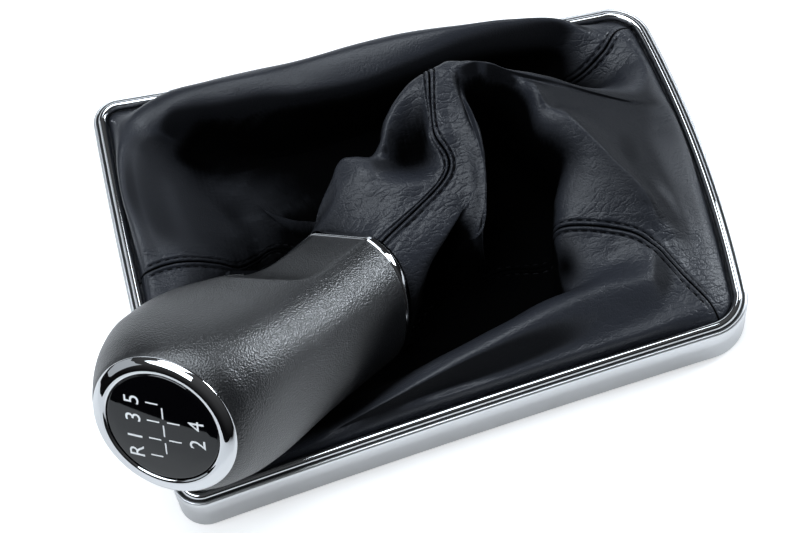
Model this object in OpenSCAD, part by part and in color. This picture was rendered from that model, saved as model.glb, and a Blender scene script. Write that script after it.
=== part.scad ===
// Shift knob with leather gaiter and chrome-edged frame for a manual gearbox.
// The knob hangs on its stitched gaiter as it does when it is off the lever.
// Lengths in millimetres. The frame lies on z = 0, its length along X.

/* [Frame] */
// length of the frame between the grooves of its short ends
frame_l = 178; // [150:1:220]
// width at the head end, groove to groove
frame_w_head = 145.45; // [110:0.05:170]
// width at the far end, groove to groove
frame_w_tail = 119.6; // [90:0.1:150]
// how far the head end bows outward
bow_head = 1.2; // [0:0.1:6]
// how far the tail end bows outward
bow_tail = 4.55; // [0:0.05:8]
// how far the long sides bow inward
bow_side = 1.0; // [0:0.1:4]
// corner radius at the head end
corner_head = 7.3; // [4:0.1:16]
// corner radius at the tail end
corner_tail = 12.8; // [6:0.1:20]
// height of the groove between bead and skirt
rim_z = 17.7; // [14:0.1:24]
// lower edge of the chrome skirt
skirt_z = 2.5; // [2:0.1:6]
// width of the raised bead beside the leather
bead_w = 3.1; // [2.4:0.1:5]
// wall of the chrome skirt
skirt_t = 1.6; // [1:0.1:3]
// width of a spring clip
clip_w = 9; // [5:0.5:14]

/* [Gaiter] */
// thickness of the leather
leather_t = 1.2; // [0.8:0.1:2]
// gap between two leather panels at a seam
seam_gap = 0.5; // [0.3:0.05:1]
// distance of a row of stitches from its seam
stitch_off = 1.4; // [1:0.1:4]
// thickness of the sewing thread
thread_d = 0.6; // [0.4:0.05:1.2]

/* [Knob place] */
// centre of the head ring along the frame, from the frame's middle
knob_x = -86.2; // [-100:0.1:-70]
// centre of the head ring across the frame, from the frame's middle
knob_y = -63.4; // [-80:0.1:-40]
// height of the head ring's lower reach over the table
knob_low = 34.8; // [28:0.1:48]
// turn of the knob about X
turn_x = -62.7; // [-80:0.1:-40]
// turn of the knob about Y
turn_y = 15.44; // [0:0.01:30]
// turn of the knob about Z
turn_z = 136.92; // [120:0.01:160]

/* [Head] */
// outer radius of the chrome head ring
ring_r = 22.4; // [18:0.1:26]
// width of the chrome ring around the glossy cap
ring_w = 4.8; // [3:0.1:7]
// height of the ring's crown over its seat
ring_h = 2.3; // [1:0.1:4]
// lean of the head plane to the rear
head_lean = 13; // [0:0.5:25]
// running and seating clearance between the knob's pieces
fit = 0.1; // [0.05:0.05:0.3]

/* [Lever socket] */
// radius of the lever that the bush takes
lever_r = 6; // [4:0.1:7]
// wall of the lever bush
bush_t = 1.4; // [1:0.1:2]
// wall of the core's stem around the bush
stem_t = 1.4; // [1:0.1:2.5]
// depth at which the socket ends under the head
socket_top = 40; // [34:1:50]
// wall of the grip around its core, measured on the side facets
grip_wall = 4.8; // [4:0.1:7]
// lower end of the core, where the return spring seats
core_end = 54; // [48:0.5:60]
// length of the knob from the head plane to its lower edge
shell_end = 81.5; // [76:0.5:88]

/* [Reverse lift] */
// travel of the lift trigger
lift_travel = 8; // [4:0.5:10]
// wall of the lift sleeve
sleeve_t = 2; // [1.4:0.1:3]
// upper end of the lift sleeve at rest
sleeve_top = 68; // [64:0.5:72]
// lower end of the lift sleeve at rest
sleeve_end = 98; // [92:0.5:106]
// half width of the trigger tongue
tongue_w = 6.8; // [4:0.1:9]
// thickness of the trigger tongue
tongue_t = 2.4; // [1.6:0.1:3.5]
// how far the tongue reaches out in front of the neck
tongue_l = 13; // [8:0.5:18]
// wire of the return spring
wire_d = 1.2; // [0.8:0.1:1.6]

/* [Collar] */
// thickness of the chrome collar
collar_t = 2.8; // [2:0.1:5]
// height of the dark ring that holds the gaiter
holder_h = 5; // [3:0.5:8]

/* [Hidden] */
$fn = 64;
tiny = 0.01;
chrome_c = [0.82, 0.83, 0.84];
steel_c = [0.7, 0.71, 0.72];
black_c = [0.07, 0.07, 0.08];
leather_c = [0.1, 0.11, 0.14];
thread_c_ = [0.05, 0.05, 0.06];
plastic_c = [0.12, 0.12, 0.13];

// centre of the whole object's box, moved to the origin
mid_x = -5.32;
mid_y = -3.19;

// small vector helpers
function unit(v) = v / max(norm(v), 0.000001);
function lerp(a, b, t) = a + (b - a) * t;
function clampv(v, lo, hi) = min(max(v, lo), hi);
function sgn(v) = v < 0 ? -1 : 1;
function rot2(v, a) = [v[0] * cos(a) - v[1] * sin(a), v[0] * sin(a) + v[1] * cos(a)];
function run_sum(v, i = 0, acc = [0]) =
    i >= len(v) ? acc : run_sum(v, i + 1, concat(acc, [acc[i] + v[i]]));
// curve through four neighbouring points, t from the second to the third
function thru(p0, p1, p2, p3, t) =
    0.5 * (2 * p1 + (p2 - p0) * t + (2 * p0 - 5 * p1 + 4 * p2 - p3) * t * t
    + (3 * p1 - p0 - 3 * p2 + p3) * t * t * t);

// frame outline: four bowed sides joined by arcs, counter-clockwise
corner_pt = [[-frame_l / 2, -frame_w_head / 2], [frame_l / 2, -frame_w_tail / 2],
             [frame_l / 2, frame_w_tail / 2], [-frame_l / 2, frame_w_head / 2]];
corner_rad = [corner_head, corner_tail, corner_tail, corner_head];
side_bow = [-bow_side, bow_tail, -bow_side, bow_head];
side_n = 12;
arc_n = 8;
function side_a(i) = corner_pt[i];
function side_b(i) = corner_pt[(i + 1) % 4];
function side_dir(i) = unit(side_b(i) - side_a(i));
function side_out(i) = [side_dir(i)[1], -side_dir(i)[0]];
function side_len(i) = norm(side_b(i) - side_a(i));
function side_at(i, t) =
    lerp(side_a(i), side_b(i), t) + 4 * t * (1 - t) * side_bow[i] * side_out(i);
function side_tan(i, t) =
    unit(side_b(i) - side_a(i) + 4 * (1 - 2 * t) * side_bow[i] * side_out(i));
function turn_at(i) =
    acos(side_tan((i + 3) % 4, 1) * side_tan(i, 0));
function cut_len(i) = corner_rad[i] * tan(turn_at(i) / 2);
function side_t0(i) = cut_len(i) / side_len(i);
function side_t1(i) = 1 - cut_len((i + 1) % 4) / side_len(i);
function side_run(i) =
    [for (k = [0 : side_n])
        let (t = lerp(side_t0(i), side_t1(i), k / side_n)) side_at(i, t)];
function corner_run(i) =
    let (j = (i + 1) % 4,
         u = side_tan(i, side_t1(i)),
         w = side_tan(j, side_t0(j)),
         r = corner_rad[j],
         c = side_at(i, side_t1(i)) + r * [-u[1], u[0]],
         a = acos(clampv(u * w, -1, 1)))
    [for (k = [1 : arc_n - 1]) c + r * rot2([u[1], -u[0]], a * k / arc_n)];
rim = [for (i = [0 : 3]) each concat(side_run(i), corner_run(i))];
rim_n = len(rim);
function rim_out(i) =
    let (d = unit(rim[(i + 1) % rim_n] - rim[(i + rim_n - 1) % rim_n])) [d[1], -d[0]];
rim_normal = [for (i = [0 : rim_n - 1]) rim_out(i)];
function rim_off(s) = [for (i = [0 : rim_n - 1]) rim[i] + s * rim_normal[i]];

// the same outline read by arc length, clockwise from the middle of the head end
rim_step = [for (i = [0 : rim_n - 1]) norm(rim[(i + 1) % rim_n] - rim[i])];
rim_sum = run_sum(rim_step);
rim_all = rim_sum[rim_n];
head_mid = rim_sum[3 * (side_n + arc_n) + side_n / 2];
function rim_seg(d, lo, hi) =
    hi - lo < 2 ? lo : let (m = floor((lo + hi) / 2))
        (rim_sum[m] <= d ? rim_seg(d, m, hi) : rim_seg(d, lo, m));
function rim_read(q, s) =
    let (d0 = head_mid - q * rim_all,
         d = d0 - rim_all * floor(d0 / rim_all),
         i = rim_seg(d, 0, rim_n),
         t = (d - rim_sum[i]) / rim_step[i],
         j = (i + 1) % rim_n)
    lerp(rim[i], rim[j], t) + s * unit(lerp(rim_normal[i], rim_normal[j], t));

// chrome bezel: bead, groove, shoulder and skirt swept along the outline
bead_top = rim_z + 1.4;
lip_under = rim_z - 2.7;
skirt_out = skirt_t - 0.14;
bezel_sec = [[skirt_out, skirt_z], [skirt_out, rim_z - 1.1], [skirt_out - 0.45, rim_z - 0.2],
             [0.5, rim_z], [0, rim_z - 0.5], [-0.4, rim_z + 0.2],
             [-1, bead_top - 0.4], [-1.7, bead_top], [0.6 - bead_w, bead_top - 0.4],
             [-bead_w, rim_z + 0.1], [-bead_w, lip_under + 0.5], [-0.14, lip_under],
             [-0.14, skirt_z]];

// closed sweep of a section (s, z) around the outline
module ring_sweep(sec) {
    m = len(sec);
    pts = [for (i = [0 : rim_n - 1]) for (p = sec)
        let (q = rim[i] + p[0] * rim_normal[i]) [q[0], q[1], p[1]]];
    polyhedron(pts, [for (i = [0 : rim_n - 1]) for (k = [0 : m - 1])
        let (a = i * m, b = ((i + 1) % rim_n) * m, k2 = (k + 1) % m)
        each [[a + k, b + k, b + k2], [a + k, b + k2, a + k2]]]);
}

// knob frame
function spin_x(p, a) = [p[0], p[1] * cos(a) - p[2] * sin(a), p[1] * sin(a) + p[2] * cos(a)];
function spin_y(p, a) = [p[0] * cos(a) + p[2] * sin(a), p[1], p[2] * cos(a) - p[0] * sin(a)];
function spin_z(p, a) = [p[0] * cos(a) - p[1] * sin(a), p[0] * sin(a) + p[1] * cos(a), p[2]];
knob_at = [knob_x, knob_y, knob_low + ring_r];
function from_knob(p) =
    knob_at + spin_z(spin_y(spin_x(p, turn_x), turn_y), turn_z);
module in_knob() {
    translate(knob_at) rotate([turn_x, turn_y, turn_z]) children();
}
module in_head() {
    in_knob() rotate([0, -head_lean, 0]) children();
}
// the lever socket runs a little behind the head's centre
axis_x = -3;
module on_axis(z) {
    in_knob() translate([axis_x, 0, z]) children();
}

// knob sections from the head down: depth, front, rear, half width, front and
// rear fullness, chamfer reach and side-facet reach
sections = [
    [0, 22.3, 22.3, 22.3, 2, 2, 60, 60],
    [1, 23.6, 23.2, 23.2, 2, 2.05, 60, 60],
    [4, 26, 24.4, 24.4, 2.05, 2.15, 60, 60],
    [8, 28.8, 25.2, 25.3, 2.15, 2.2, 60, 60],
    [13, 31.6, 25.8, 26, 2.2, 2.3, 60, 60],
    [19, 33.6, 26.2, 26.3, 2.3, 2.35, 47.5, 60],
    [26, 34, 26.3, 26.2, 2.3, 2.4, 46.5, 60],
    [33, 32.6, 26.3, 25.7, 2.3, 2.4, 44, 30],
    [40, 28.8, 26.3, 25, 2.25, 2.4, 38, 27],
    [47, 24.4, 26.3, 24.5, 2.2, 2.4, 32, 23.2],
    [53, 21.6, 26.3, 24.1, 2.2, 2.45, 28, 20.6],
    [60, 20.3, 26.3, 23.9, 2.3, 2.5, 25.6, 19.6],
    [70, 19.9, 26.3, 23.8, 2.3, 2.5, 25.2, 19.6],
    [82, 19.9, 26.4, 23.9, 2.3, 2.5, 25.6, 19.6]];
head_k = ring_r / 22.4;
cap_r = ring_r - ring_w;
// the side facets stand this far from the socket's axis at the neck
facet_gap = 19.8 * head_k;
core_r = facet_gap - grip_wall - 0.2;
depth_k = (shell_end + 0.5) / 82;
section_sides = 48;
function soft_min(a, b, r) =
    let (h = clampv(0.5 + 0.5 * (b - a) / r, 0, 1)) b * (1 - h) + a * h - r * h * (1 - h);
function section_pt(s, a) =
    let (c = cos(a), n = abs(sin(a)),
         e = c >= 0 ? s[4] : s[5],
         x = c >= 0 ? s[1] * pow(c, 2 / e) : -s[2] * pow(-c, 2 / e),
         y = sgn(sin(a)) * s[3] * pow(n, 2 / e),
         w = atan2(y, x),
         fx = abs(sin(w)) + 0.2157 * cos(w),
         cx = abs(sin(w)) + cos(w),
         rf = fx > 0.05 ? s[7] / fx : 400,
         rc = cx > 0.05 ? s[6] / cx : 400,
         r = soft_min(soft_min(norm([x, y]), rc, 2.5), rf, 0.8))
    r * [cos(w), sin(w)];
function knob_ring(s) =
    let (d = -s[0] * depth_k,
         tilt = head_lean * clampv(1 + d / 60, 0, 1))
    [for (k = [0 : section_sides - 1])
        let (p = head_k * section_pt(s, k * 360 / section_sides))
        [p[0] * cos(tilt), p[1], d + p[0] * sin(tilt)]];
// stations between the given sections keep the belly round
function mid_section(i) =
    thru(sections[max(i - 1, 0)], sections[i], sections[i + 1],
         sections[min(i + 2, len(sections) - 1)], 0.5);
knob_rows = [for (i = [0 : len(sections) - 1])
    each (i > 1 && i < 11 ? [sections[i], mid_section(i)] : [sections[i]])];
// the lowest section in plan, used by the collar and the gaiter ring
neck_pts = [for (k = [0 : section_sides - 1])
    head_k * section_pt(sections[len(sections) - 1], k * 360 / section_sides)];

// closed skin over rings of equal length, first ring on top
module skin(rings) {
    m = len(rings[0]);
    n = len(rings);
    pts = [for (r = rings) each r];
    polyhedron(pts, concat(
        [[for (k = [m - 1 : -1 : 0]) k]],
        [for (i = [0 : n - 2]) for (k = [0 : m - 1])
            let (a = i * m, b = (i + 1) * m, j = (k + 1) % m)
            each [[a + k, a + j, b + j], [a + k, b + j, b + k]]],
        [[for (k = [0 : m - 1]) (n - 1) * m + k]]));
}

// gaiter: control points, one row per spoke from the frame to the collar
// where each spoke starts on the frame, in thousandths of the way round
spoke_at = [10, 33, 60, 87, 135, 152, 179, 205, 231, 260, 287, 317, 347, 376,
            410, 434, 454, 474, 497, 520, 543, 567,
            605, 631, 661, 691, 720, 749, 779, 809, 838, 865, 908, 938, 964, 987];
// spokes on which the three seams run
seam_spoke = [0, 14, 22];
spokes = [
 [[-84,5.5,21],[-78,7,20],[-71,7.5,18],[-62,7,13],[-56,6.5,8],[-50,10,3.5],[-46.5,12,3],
  [-43,12.5,3],[-39,9.5,4.5],[-37,3,8]],
 [[-85,18,24],[-80,19.5,23],[-73,20,19],[-66,20,15],[-58,19.5,9],[-50,19,3.5],[-46,19.5,3],
  [-42,18.5,3],[-37.5,13,5.5],[-35.5,5,11]],
 [[-86,34.5,25],[-81,34,23],[-74,33.5,19],[-67,31.5,15],[-60,29.5,9],[-52.5,27,3.5],[-46.5,25,3],
  [-40.5,21,3.5],[-35.5,13.5,7.5],[-34.5,4.5,15]],
 [[-84,50,25],[-79,47.5,24],[-72,44,19],[-66,41.5,14],[-60,38,8],[-50.5,33.5,3],[-44.5,28.5,3],
  [-37.5,21,4.5],[-33,11,12],[-33,4.5,19]],
 [[-78,60.5,24],[-72,55,23],[-66,52.5,16],[-61,49.5,8],[-54,45,3.5],[-43,35.5,3],[-32,5,6],
  [-31,5,27],[-31,2,28],[-33,1,26.5]],
 [[-66,65,26],[-62,60,29],[-58.5,55,24],[-55,52,12],[-48.5,47.5,4],[-36,38.5,3],[-28.5,6,6],
  [-28.5,6,22],[-27.5,6,34],[-29,2,32]],
 [[-52,64,28],[-49.5,59,33],[-47,52.5,28],[-45,49,14],[-39.5,46.5,4],[-28.5,40.5,3],[-23.5,11.5,7],
  [-23.5,11,25],[-22.5,10.5,39],[-25,3.5,37]],
 [[-36,62.5,30],[-35,57,35],[-34,50.5,30],[-32,46.5,16],[-26.5,45,4],[-19.5,40.5,4],[-19,18.5,8],
  [-19,17,28],[-18,14.5,43],[-21,5,42]],
 [[-20,60,32],[-20,55.5,38],[-21,47,32],[-18,45.5,16],[-14,45.5,5],[-11,42,4],[-14,21,10],
  [-14,18,32],[-14,13,45],[-17,3.5,44]],
 [[-3,59.5,34],[-3,54.5,40],[-5,45,33],[-3,45,16],[0,46.5,5],[-1.5,42.5,5],[-9.5,19,14],
  [-9.5,16,36],[-9.5,11,45],[-13,1.5,44.5]],
 [[14,58.5,35],[14,53.5,41],[11,45.5,34],[12,46.5,16],[11,48,6],[6.5,44.5,6],[-6,22.5,16],
  [-5,16.5,45],[-4,10.5,42],[-8.5,1.5,45]],
 [[31,57,33],[30,53,40],[27,47,32],[26,49.5,16],[24,51.5,8],[16,50,9],[-4,27,20],[-1.5,21.5,49],
  [1,12,38.5],[-3.5,0.5,45]],
 [[49,57,28],[46,54.5,35],[44,49.5,27],[42,49.5,15],[37,49.5,9],[26,50.5,10],[2.5,31.5,26],
  [3.5,26,51],[5,12.5,38.5],[0.5,-0.5,44.5]],
 [[66.5,56,22],[64,54.5,27],[61,50.5,20],[58,48.5,13],[50,46.5,9],[35.5,46.5,12],[8,34.5,32],
  [9,29,53],[8,12.5,42],[6,-0.5,43.5]],
 [[80,49.5,21],[74,44,20],[65,41,14],[54,41,9],[41,43,12],[30,45.5,18],[14.5,36,36],[14.5,30.5,54],
  [11,14,49.5],[12,1,43.5]],
 [[85,38,21],[79,34,20],[70,33.5,16],[56,35.5,14],[42.5,36.5,20],[31.5,34,36],[22,35,46],
  [20,31.5,55],[17,15,50],[14.5,-2,43]],
 [[86,25.5,22],[76,20.5,29],[62.5,21,38],[50,24,46],[38,26,52],[31.5,28.5,54.5],[26,30.5,55.5],
  [22,28.5,54],[20,11.5,49],[15.5,-5.5,42]],
 [[88,17,21],[79,16.5,26],[65.5,18,35.5],[52.5,19.5,45],[42,22,51],[33,25,54],[28,26.5,50],
  [22.5,23.5,50.5],[22.5,3.5,47],[14.5,-9.5,40.5]],
 [[88,4.5,22],[76.5,7.5,28],[63,11.5,37],[51,14,45],[42.5,16.5,51],[33.5,18.5,20],[25,13.5,20],
  [24,15.5,50.5],[22,-5,44],[10.5,-13,38]],
 [[87,-8,22],[76.5,-3.5,27.5],[65,1,36.5],[51.5,7.5,48],[42,8.5,42],[39.5,8,10],[25,0,10],
  [24.5,6,48],[19.5,-13.5,40],[7,-13.5,33]],
 [[86,-20.5,21],[79,-16,25],[71,-12,30],[59.5,-4.5,42],[47.5,0,35.5],[45.5,-1.5,7],[23,-7.5,7],
  [22,-6.5,43.5],[17,-18,36],[5,-13,25]],
 [[84,-35,20],[79.5,-29,22.5],[73.5,-23,27.5],[66,-16.5,36],[44,-9,30.5],[41.5,-10.5,6],[18,-15,12],
  [17.5,-18,34],[11.5,-16.5,28],[3.5,-14.5,15]],
 [[79,-51,20],[74,-42,22],[68,-31.5,26],[59.5,-24.5,28.5],[41.5,-18.5,28],[38,-20,9],[25,-18.5,9],
  [16,-19.5,9.5],[5.5,-19.5,7.5],[-4.5,-26.5,6]],
 [[67,-55,20.5],[65,-49.5,22],[62.5,-41.5,28],[55,-33,25.5],[40,-28,24.5],[36.5,-28.5,7],
  [24,-25.5,4],[12.5,-25.5,3.5],[0,-28.5,3.5],[-10,-32.5,4]],
 [[50,-57,21],[49,-52.5,23],[48,-43.5,30],[44.5,-39,28],[36.5,-39,24],[32.5,-40,6],[23,-34,4],
  [11.5,-34,3.5],[-1,-33,3],[-17,-32,3]],
 [[32,-58,21],[32,-55,23],[31,-48,32],[29,-42,29],[26,-38,16],[22,-37,4],[18,-37,3.5],[14,-37,3],
  [2,-36,3],[-21,-30,2.5]],
 [[14,-59.5,21],[14,-57,23],[14,-52,32],[13,-46,28],[12,-42,14],[10,-40,4],[7,-39.5,3.5],[4,-39,3],
  [-6,-37,2],[-24.5,-27,1.8]],
 [[-4,-60.5,21],[-5,-58,22],[-5,-56,30],[-6,-50,26],[-7,-45,12],[-8,-42,4],[-10,-40.5,3.5],
  [-12,-39,3],[-17,-34,1.6],[-27.5,-24,1.4]],
 [[-22,-62,20],[-22,-60,23],[-22,-59,27],[-23,-53,22],[-24,-47,10],[-26,-43,4],[-27,-40.5,3],
  [-28,-38,2],[-29,-31,1.2],[-30,-21.5,1]],
 [[-40,-63.5,19],[-40,-62,20],[-40,-60,20],[-41,-54,14],[-42,-48,8],[-43,-43,4],[-42.5,-39.5,3],
  [-42,-36,2],[-38,-27,1.3],[-32.5,-19,1.2]],
 [[-58,-65,19],[-57,-64,18],[-56,-59,14],[-55,-52,9],[-54,-46,6],[-53,-39,3],[-51.5,-35,2.5],
  [-50,-31,2],[-43,-21,1.5],[-35,-16,1.4]],
 [[-73,-65.5,18],[-69,-60,16],[-65,-54,12],[-63,-47,7],[-61,-40,4],[-58,-32,3],[-56,-28,2.5],
  [-54,-24,2],[-46,-14,1.8],[-37,-13,2.4]],
 [[-82,-55,18],[-78,-48,16],[-73,-42,12],[-69,-35,7],[-65,-28,4],[-61,-22,3],[-58,-18.5,2.5],
  [-55,-15,2],[-47,-7,2],[-38.5,-10,3.8]],
 [[-84,-38,19],[-80,-33,17],[-75,-28,13],[-70,-22,8],[-65,-17,4],[-60,-12,3],[-56.5,-9,2.5],
  [-53,-6,2],[-46,0,2],[-39.5,-7,5]],
 [[-85,-22,19],[-80,-19,18],[-75,-16,14],[-69,-13,9],[-63,-9,5],[-58,-5,3],[-54.5,-2.5,2.5],
  [-51,0,2],[-44,5,2],[-37,1,7]],
 [[-85,-9,20],[-79,-6,19],[-73,-5,16],[-66,-4,11],[-60,-2,6],[-54,2,3],[-51,4.5,2.5],[-48,7,2.5],
  [-42.5,6.5,3.5],[-38.5,0.5,7]]];
spoke_n = len(spokes);
// where each spoke ends on the knob's neck, in the knob's own plan
neck_at = [
 [19.9, 0], [19.9, -3], [19.6, -6], [17.5, -9.5], [15, -12], [12.5, -14.5],
 [9.5, -17], [6, -18.3], [2.5, -19], [-1, -19.8], [-4.5, -20.6], [-8, -21.3],
 [-11.5, -22], [-14, -22], [-16.5, -21.2], [-20, -19], [-23.2, -15.5], [-25.5, -10],
 [-26.4, -3], [-26.2, 4.5], [-24.8, 11], [-22.5, 16.5], [-16.5, 21.2], [-14, 22],
 [-11.5, 22], [-8, 21.3], [-4.5, 20.6], [-1, 19.8], [2.5, 19], [6, 18.3], [9.5, 17],
 [12.5, 14.5], [15, 12], [17.5, 9.5], [19.6, 6], [19.9, 3]];
// the gaiter follows the frame and the neck when their sizes change
net_kx = frame_l / 178;
net_ky = (frame_w_head + frame_w_tail) / 265.05;
hem_z = lip_under - leather_t / 2 - fit;
hem_s = -1;
lip_s = -bead_w - leather_t / 2 - 0.2;
neck_z = -shell_end - collar_t - 1.2;
neck_k = 0.96;
function spoke_pos(i) = spoke_at[(i + 2 * spoke_n) % spoke_n] / 1000
    + floor((i + 2 * spoke_n) / spoke_n) - 2;
function net_pt(i, j) =
    let (p = spokes[(i + 2 * spoke_n) % spoke_n][j]) [p[0] * net_kx, p[1] * net_ky, p[2]];
function neck_pt(i) =
    let (p = neck_at[(i + 2 * spoke_n) % spoke_n] * head_k * neck_k)
    from_knob([p[0], p[1], neck_z]);
// rows from the hem inward: hem, bend, lip, ten control points, neck
row_n = 14;
rim_rows = [[hem_s, hem_z], [lip_s, hem_z + 0.2], [lip_s, rim_z - 0.7]];
function rim_pt(q, j) =
    let (p = rim_read(q, rim_rows[j][0])) [p[0], p[1], rim_rows[j][1]];
function node_pt(i, j) = j == row_n - 1 ? neck_pt(i) : net_pt(i, j - 3);
// one row of the net at any place round the gaiter
function ring_pt(u, j) =
    let (i = floor(u), t = u - i)
    j < 3 ? rim_pt(lerp(spoke_pos(i), spoke_pos(i + 1), t), j)
    : thru(node_pt(i - 1, j), node_pt(i, j), node_pt(i + 1, j), node_pt(i + 2, j), t);
function along(col, v) =
    let (i = min(floor(v), row_n - 2), t = v - i,
         a = i > 0 ? col[i - 1] : 2 * col[0] - col[1],
         b = i + 2 < row_n ? col[i + 2] : 2 * col[row_n - 1] - col[row_n - 2])
    thru(a, col[i], col[i + 1], b, t);
v_steps = concat([0, 1], [for (k = [3 : 26]) k / 2]);
function skin_col(u) =
    let (c = [for (j = [0 : row_n - 1]) ring_pt(u, j)]) [for (v = v_steps) along(c, v)];
// normal of the leather at column k and row r of a grid
function grid_n(g, k, r) =
    let (c = g[k][max(r - 1, 0)], d = g[k][min(r + 1, len(g[0]) - 1)])
    unit(cross(d - c, g[k + 1][r] - g[k - 1][r]));
// columns moved off the middle of the leather, without the first and the last
function face_grid(g, h) =
    [for (k = [1 : len(g) - 2]) [for (r = [0 : len(g[0]) - 1])
        g[k][r] + h * grid_n(g, k, r)]];
per_spoke = 2;
seam_edge = seam_gap / 36;
function flat_list(g) = [for (c = g) each c];
// a leather panel from seam to seam: outer face, inner face and edges
module panel(u0, u1) {
    steps = round((u1 - u0) * per_spoke);
    du = (u1 - u0 - 2 * seam_edge) / steps;
    g = [for (k = [-1 : steps + 1]) skin_col(u0 + seam_edge + k * du)];
    m = len(g[0]);
    n = steps + 1;
    outer = flat_list(face_grid(g, leather_t / 2));
    inner = flat_list(face_grid(g, -leather_t / 2));
    o = n * m;
    faces_out = [for (k = [0 : n - 2]) for (r = [0 : m - 2])
        let (a = k * m + r, b = a + m)
        each [[a, b, a + 1], [b, b + 1, a + 1]]];
    faces_in = [for (f = faces_out) [f[2] + o, f[1] + o, f[0] + o]];
    edge_u = [for (r = [0 : m - 2]) each [
        [r, r + 1, r + o], [r + 1, r + 1 + o, r + o],
        [(n - 1) * m + r + 1, (n - 1) * m + r, (n - 1) * m + r + o],
        [(n - 1) * m + r + 1, (n - 1) * m + r + o, (n - 1) * m + r + 1 + o]]];
    edge_v = [for (k = [0 : n - 2]) let (a = k * m, b = a + m, c = a + m - 1, d = b + m - 1)
        each [[b, a, b + o], [a, a + o, b + o], [c, d, c + o], [d, d + o, c + o]]];
    polyhedron(concat(outer, inner), concat(faces_out, faces_in, edge_u, edge_v));
}

// thread: a thin tube that lies on the leather beside a seam
// the point at a distance along a row of points
function walk(row, d, k = 0) =
    let (s = norm(row[k + 1] - row[k]))
    d <= s || k + 2 >= len(row) ? lerp(row[k], row[k + 1], min(d / s, 1))
    : walk(row, d - s, k + 1);
// clear height over the leather, and in the deep crease of the third seam
thread_gap = 0.65;
crease_gap = 1.02;
module thread_row(u, way, gap) {
    g = [for (k = [-1 : 6]) skin_col(u + way * (seam_edge + k / per_spoke))];
    lift = leather_t / 2 + thread_d / 2 + gap;
    top = face_grid(g, way * lift);
    path = [for (r = [4 : len(g[0]) - 4]) walk([for (c = top) c[r]], stitch_off)];
    n = len(path);
    rings = [for (k = [0 : n - 1])
        let (t = unit(path[min(k + 1, n - 1)] - path[max(k - 1, 0)]),
             a = unit(cross(t, [0.3, 0.2, 1])),
             b = cross(t, a))
        [for (q = [0 : 4])
            path[k] + thread_d / 2 * (a * cos(q * 72) + b * sin(q * 72))]];
    skin([for (r = rings) [for (q = [4 : -1 : 0]) r[q]]]);
}
module seam_threads(i, gap = thread_gap) {
    thread_row(seam_spoke[i], 1, gap);
    thread_row(seam_spoke[i], -1, gap);
}

// pieces on the frame

// chromed surround with its black groove
module bezel_frame() color(chrome_c)
    ring_sweep(bezel_sec);

// black plastic ring under the bezel that clamps the gaiter's hem
carrier_top = hem_z - leather_t / 2 - fit;
carrier_bot = 7;
module carrier_frame() color(plastic_c)
    translate([0, 0, carrier_bot])
    linear_extrude(carrier_top - carrier_bot)
    difference() {
        polygon(rim_off(-0.14 - fit));
        polygon(rim_off(-bead_w));
    }

// six bent steel clips under the carrier, their feet on the console
clip_t = 1;
clip_at = [0.2, 0.33, 0.5 - 0.03, 0.68, 0.77, 0.03];
module clip(q) {
    p = rim_read(q, 0);
    p2 = rim_read(q + 0.002, 0);
    d = p2 - p;
    translate([p[0], p[1], 0]) rotate([0, 0, atan2(d[1], d[0])])
    translate([0, -0.14 - fit - 0.05, 0]) mirror([0, 1, 0])
    rotate([90, 0, 90]) translate([0, 0, -clip_w / 2])
    linear_extrude(clip_w) polygon([
        [0, 0], [0, carrier_bot - fit], [bead_w - 0.5, carrier_bot - fit],
        [bead_w - 0.5, carrier_bot - fit - clip_t], [clip_t, carrier_bot - fit - clip_t],
        [clip_t, skirt_z - 0.3], [clip_t + 1.2, 1], [clip_t + 1.2, 0]]);
}
module spring_clips() color(steel_c)
    for (q = clip_at) clip(q);

// gaiter

module panel_far() color(leather_c)
    panel(seam_spoke[0], seam_spoke[1]);
module panel_right() color(leather_c)
    panel(seam_spoke[1], seam_spoke[2]);
module panel_near() color(leather_c)
    panel(seam_spoke[2], spoke_n);
module thread_a() color(thread_c_)
    seam_threads(0);
module thread_b() color(thread_c_)
    seam_threads(1);
module thread_c() color(thread_c_)
    seam_threads(2, crease_gap);

// knob

// bores and clearances inside the shell
shell_bore = core_r + 0.2;
recess_r = ring_r - ring_w / 4;
recess_h = 4;
channel_w = tongue_w + 0.4;
spine_x = head_k * 20.7;
spine_t = 2.3;
trig_low = shell_end - 1.5;
bridge_low = shell_end - 6;
bridge_h = 5;
bridge_w = 3.6;
tongue_z = shell_end - 10;

// moulded grip: belly in front, side facets on the neck, pocket for the trigger
module knob_shell() color(black_c)
    difference() {
        in_knob() skin([for (s = knob_rows) knob_ring(s)]);
        on_axis(-shell_end - 10) cylinder(r = shell_bore, h = shell_end - 2);
        on_axis(-shell_end - 10) translate([-60, -60, -10]) cube([120, 120, 20]);
        in_head() translate([0, 0, -recess_h]) cylinder(r = recess_r, h = recess_h + 8);
        in_knob() translate([spine_x - spine_t - 0.3, -channel_w, -shell_end - 1])
            cube([20, 2 * channel_w, shell_end - core_end - 4]);
        in_knob() translate([0, -bridge_w - 0.3, -bridge_low - 0.3])
            cube([30, 2 * bridge_w + 0.6, bridge_h + lift_travel + 0.6]);
    }

// chrome ring: domed crown, locating skirt and the flange that carries the cap
module head_ring() color(chrome_c)
    in_head() rotate_extrude($fn = 96) polygon([
        [ring_r, fit], [ring_r, fit + 0.5], [ring_r - 0.9, ring_h * 0.62],
        [ring_r - 2.2, ring_h * 0.9], [ring_r - 3.2, ring_h], [cap_r + 0.15, ring_h - 0.2],
        [cap_r + 0.1, -1.6], [cap_r - 3, -1.6], [cap_r - 3, -recess_h + fit],
        [recess_r - fit, -recess_h + fit], [recess_r - fit, fit]]);

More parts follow.
